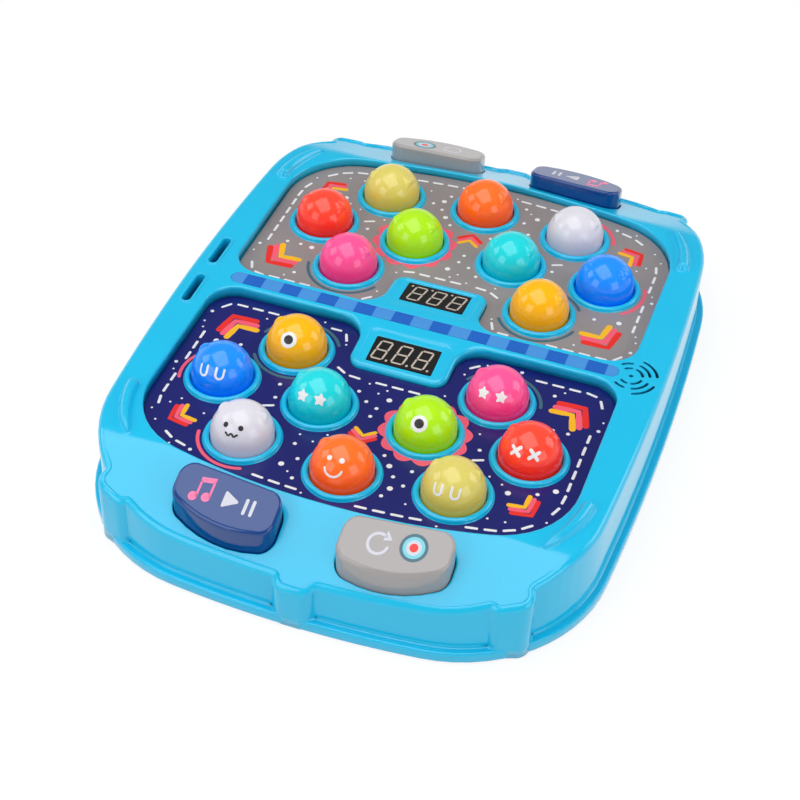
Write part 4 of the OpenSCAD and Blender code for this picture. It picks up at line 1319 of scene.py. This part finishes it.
def seen_rays(n):
    """1 for rays that the eye, a gloss or a glass sends out."""
    path = n.add("ShaderNodeLightPath").outputs
    both = n.math("MAXIMUM", path["Is Camera Ray"], path["Is Glossy Ray"])
    return n.math("MAXIMUM", both, path["Is Transmission Ray"])


def make_floor():
    bm = bmesh.new()
    bmesh.ops.create_grid(bm, x_segments=4, y_segments=4, size=6.0)
    mesh = bpy.data.meshes.new("floor")
    bm.to_mesh(mesh)
    bm.free()
    floor = bpy.data.objects.new("floor", mesh)
    scene.collection.objects.link(floor)
    material = bpy.data.materials.new("floor_white")
    material.use_nodes = True
    tree = material.node_tree
    tree.nodes.clear()
    n = Nodes(tree)
    bounce = n.add("ShaderNodeBsdfDiffuse", {"Color": (0.72, 0.72, 0.72, 1)}).outputs[0]
    shade = n.add("ShaderNodeBsdfDiffuse", {"Color": (0.2, 0.2, 0.2, 1)}).outputs[0]
    glow = n.add("ShaderNodeEmission", {"Color": (1, 1, 1, 1), "Strength": 0.83}).outputs[0]
    pale = n.add("ShaderNodeAddShader", {0: shade, 1: glow}).outputs[0]
    both = n.add("ShaderNodeMixShader", {0: seen_rays(n), 1: bounce, 2: pale}).outputs[0]
    n.put(n.add("ShaderNodeOutputMaterial").inputs[0], both)
    mesh.materials.append(material)


def make_world():
    """A room that is bright near the horizon and darker overhead."""
    world = bpy.data.worlds.new("studio")
    scene.world = world
    world.use_nodes = True
    world.node_tree.nodes.clear()
    n = Nodes(world.node_tree)
    way = n.add("ShaderNodeTexCoord").outputs["Generated"]
    up = n.add("ShaderNodeSeparateXYZ", {0: way}).outputs[2]
    reach = {"Value": up, "From Min": 0.05, "From Max": 0.45, "To Min": 0.8, "To Max": 0.25}
    strength = n.add("ShaderNodeMapRange", reach, interpolation_type="SMOOTHSTEP").outputs[0]
    sky = n.add("ShaderNodeBackground", {"Color": (1, 1, 1, 1), "Strength": strength}).outputs[0]
    n.put(n.add("ShaderNodeOutputWorld").inputs[0], sky)


def soft_light(name, way, width, height, radiance):
    """A soft box of a size in metres, in the direction way from the housing."""
    light = bpy.data.lights.new(name, "AREA")
    light.shape = "RECTANGLE"
    light.size, light.size_y = width, height
    light.energy = radiance * math.pi * width * height
    lamp = bpy.data.objects.new(name, light)
    way = Vector(way).normalized()
    lamp.location = LAMPS_FACE + way * LAMPS_AWAY
    lamp.rotation_euler = way.to_track_quat("Z", "Y").to_euler()
    scene.collection.objects.link(lamp)


def make_camera():
    target = Vector((9.87, -59.43, 45.0))
    distance, azimuth, elevation, roll = 957.0, *(math.radians(a) for a in (18.34, 42.48, 2.12))
    flat = math.cos(elevation)
    back = Vector((math.sin(azimuth) * flat, -math.cos(azimuth) * flat, math.sin(elevation)))
    right = Vector((math.cos(azimuth), math.sin(azimuth), 0))
    up = back.cross(right)
    right, up = (right * math.cos(roll) + up * math.sin(roll),
                 up * math.cos(roll) - right * math.sin(roll))
    data = bpy.data.cameras.new("camera")
    data.sensor_width = 36.0
    data.lens = 79.65
    data.shift_x, data.shift_y = -0.0008, -0.0005
    camera = bpy.data.objects.new("camera", data)
    place = (target + back * distance) * MM
    camera.matrix_world = Matrix(((right.x, up.x, back.x, place.x), (right.y, up.y, back.y, place.y),
                                  (right.z, up.z, back.z, place.z), (0, 0, 0, 1)))
    scene.collection.objects.link(camera)
    scene.camera = camera


make_floor()
make_world()
make_camera()
soft_light("overhead", (-0.1, -0.09, 1.0), 1.4, 1.0, 2.15)
soft_light("left", (-0.832, -0.094, 0.547), 0.48, 0.48, 2.3)
soft_light("right_back", (0.769, 0.442, 0.463), 0.54, 0.54, 2.3)
soft_light("left_front", (-0.44, -0.76, 0.48), 0.6, 0.6, 2.0)
soft_light("right_front", (0.80, -0.45, 0.39), 0.6, 0.6, 2.0)

scene.view_settings.view_transform = "Standard"
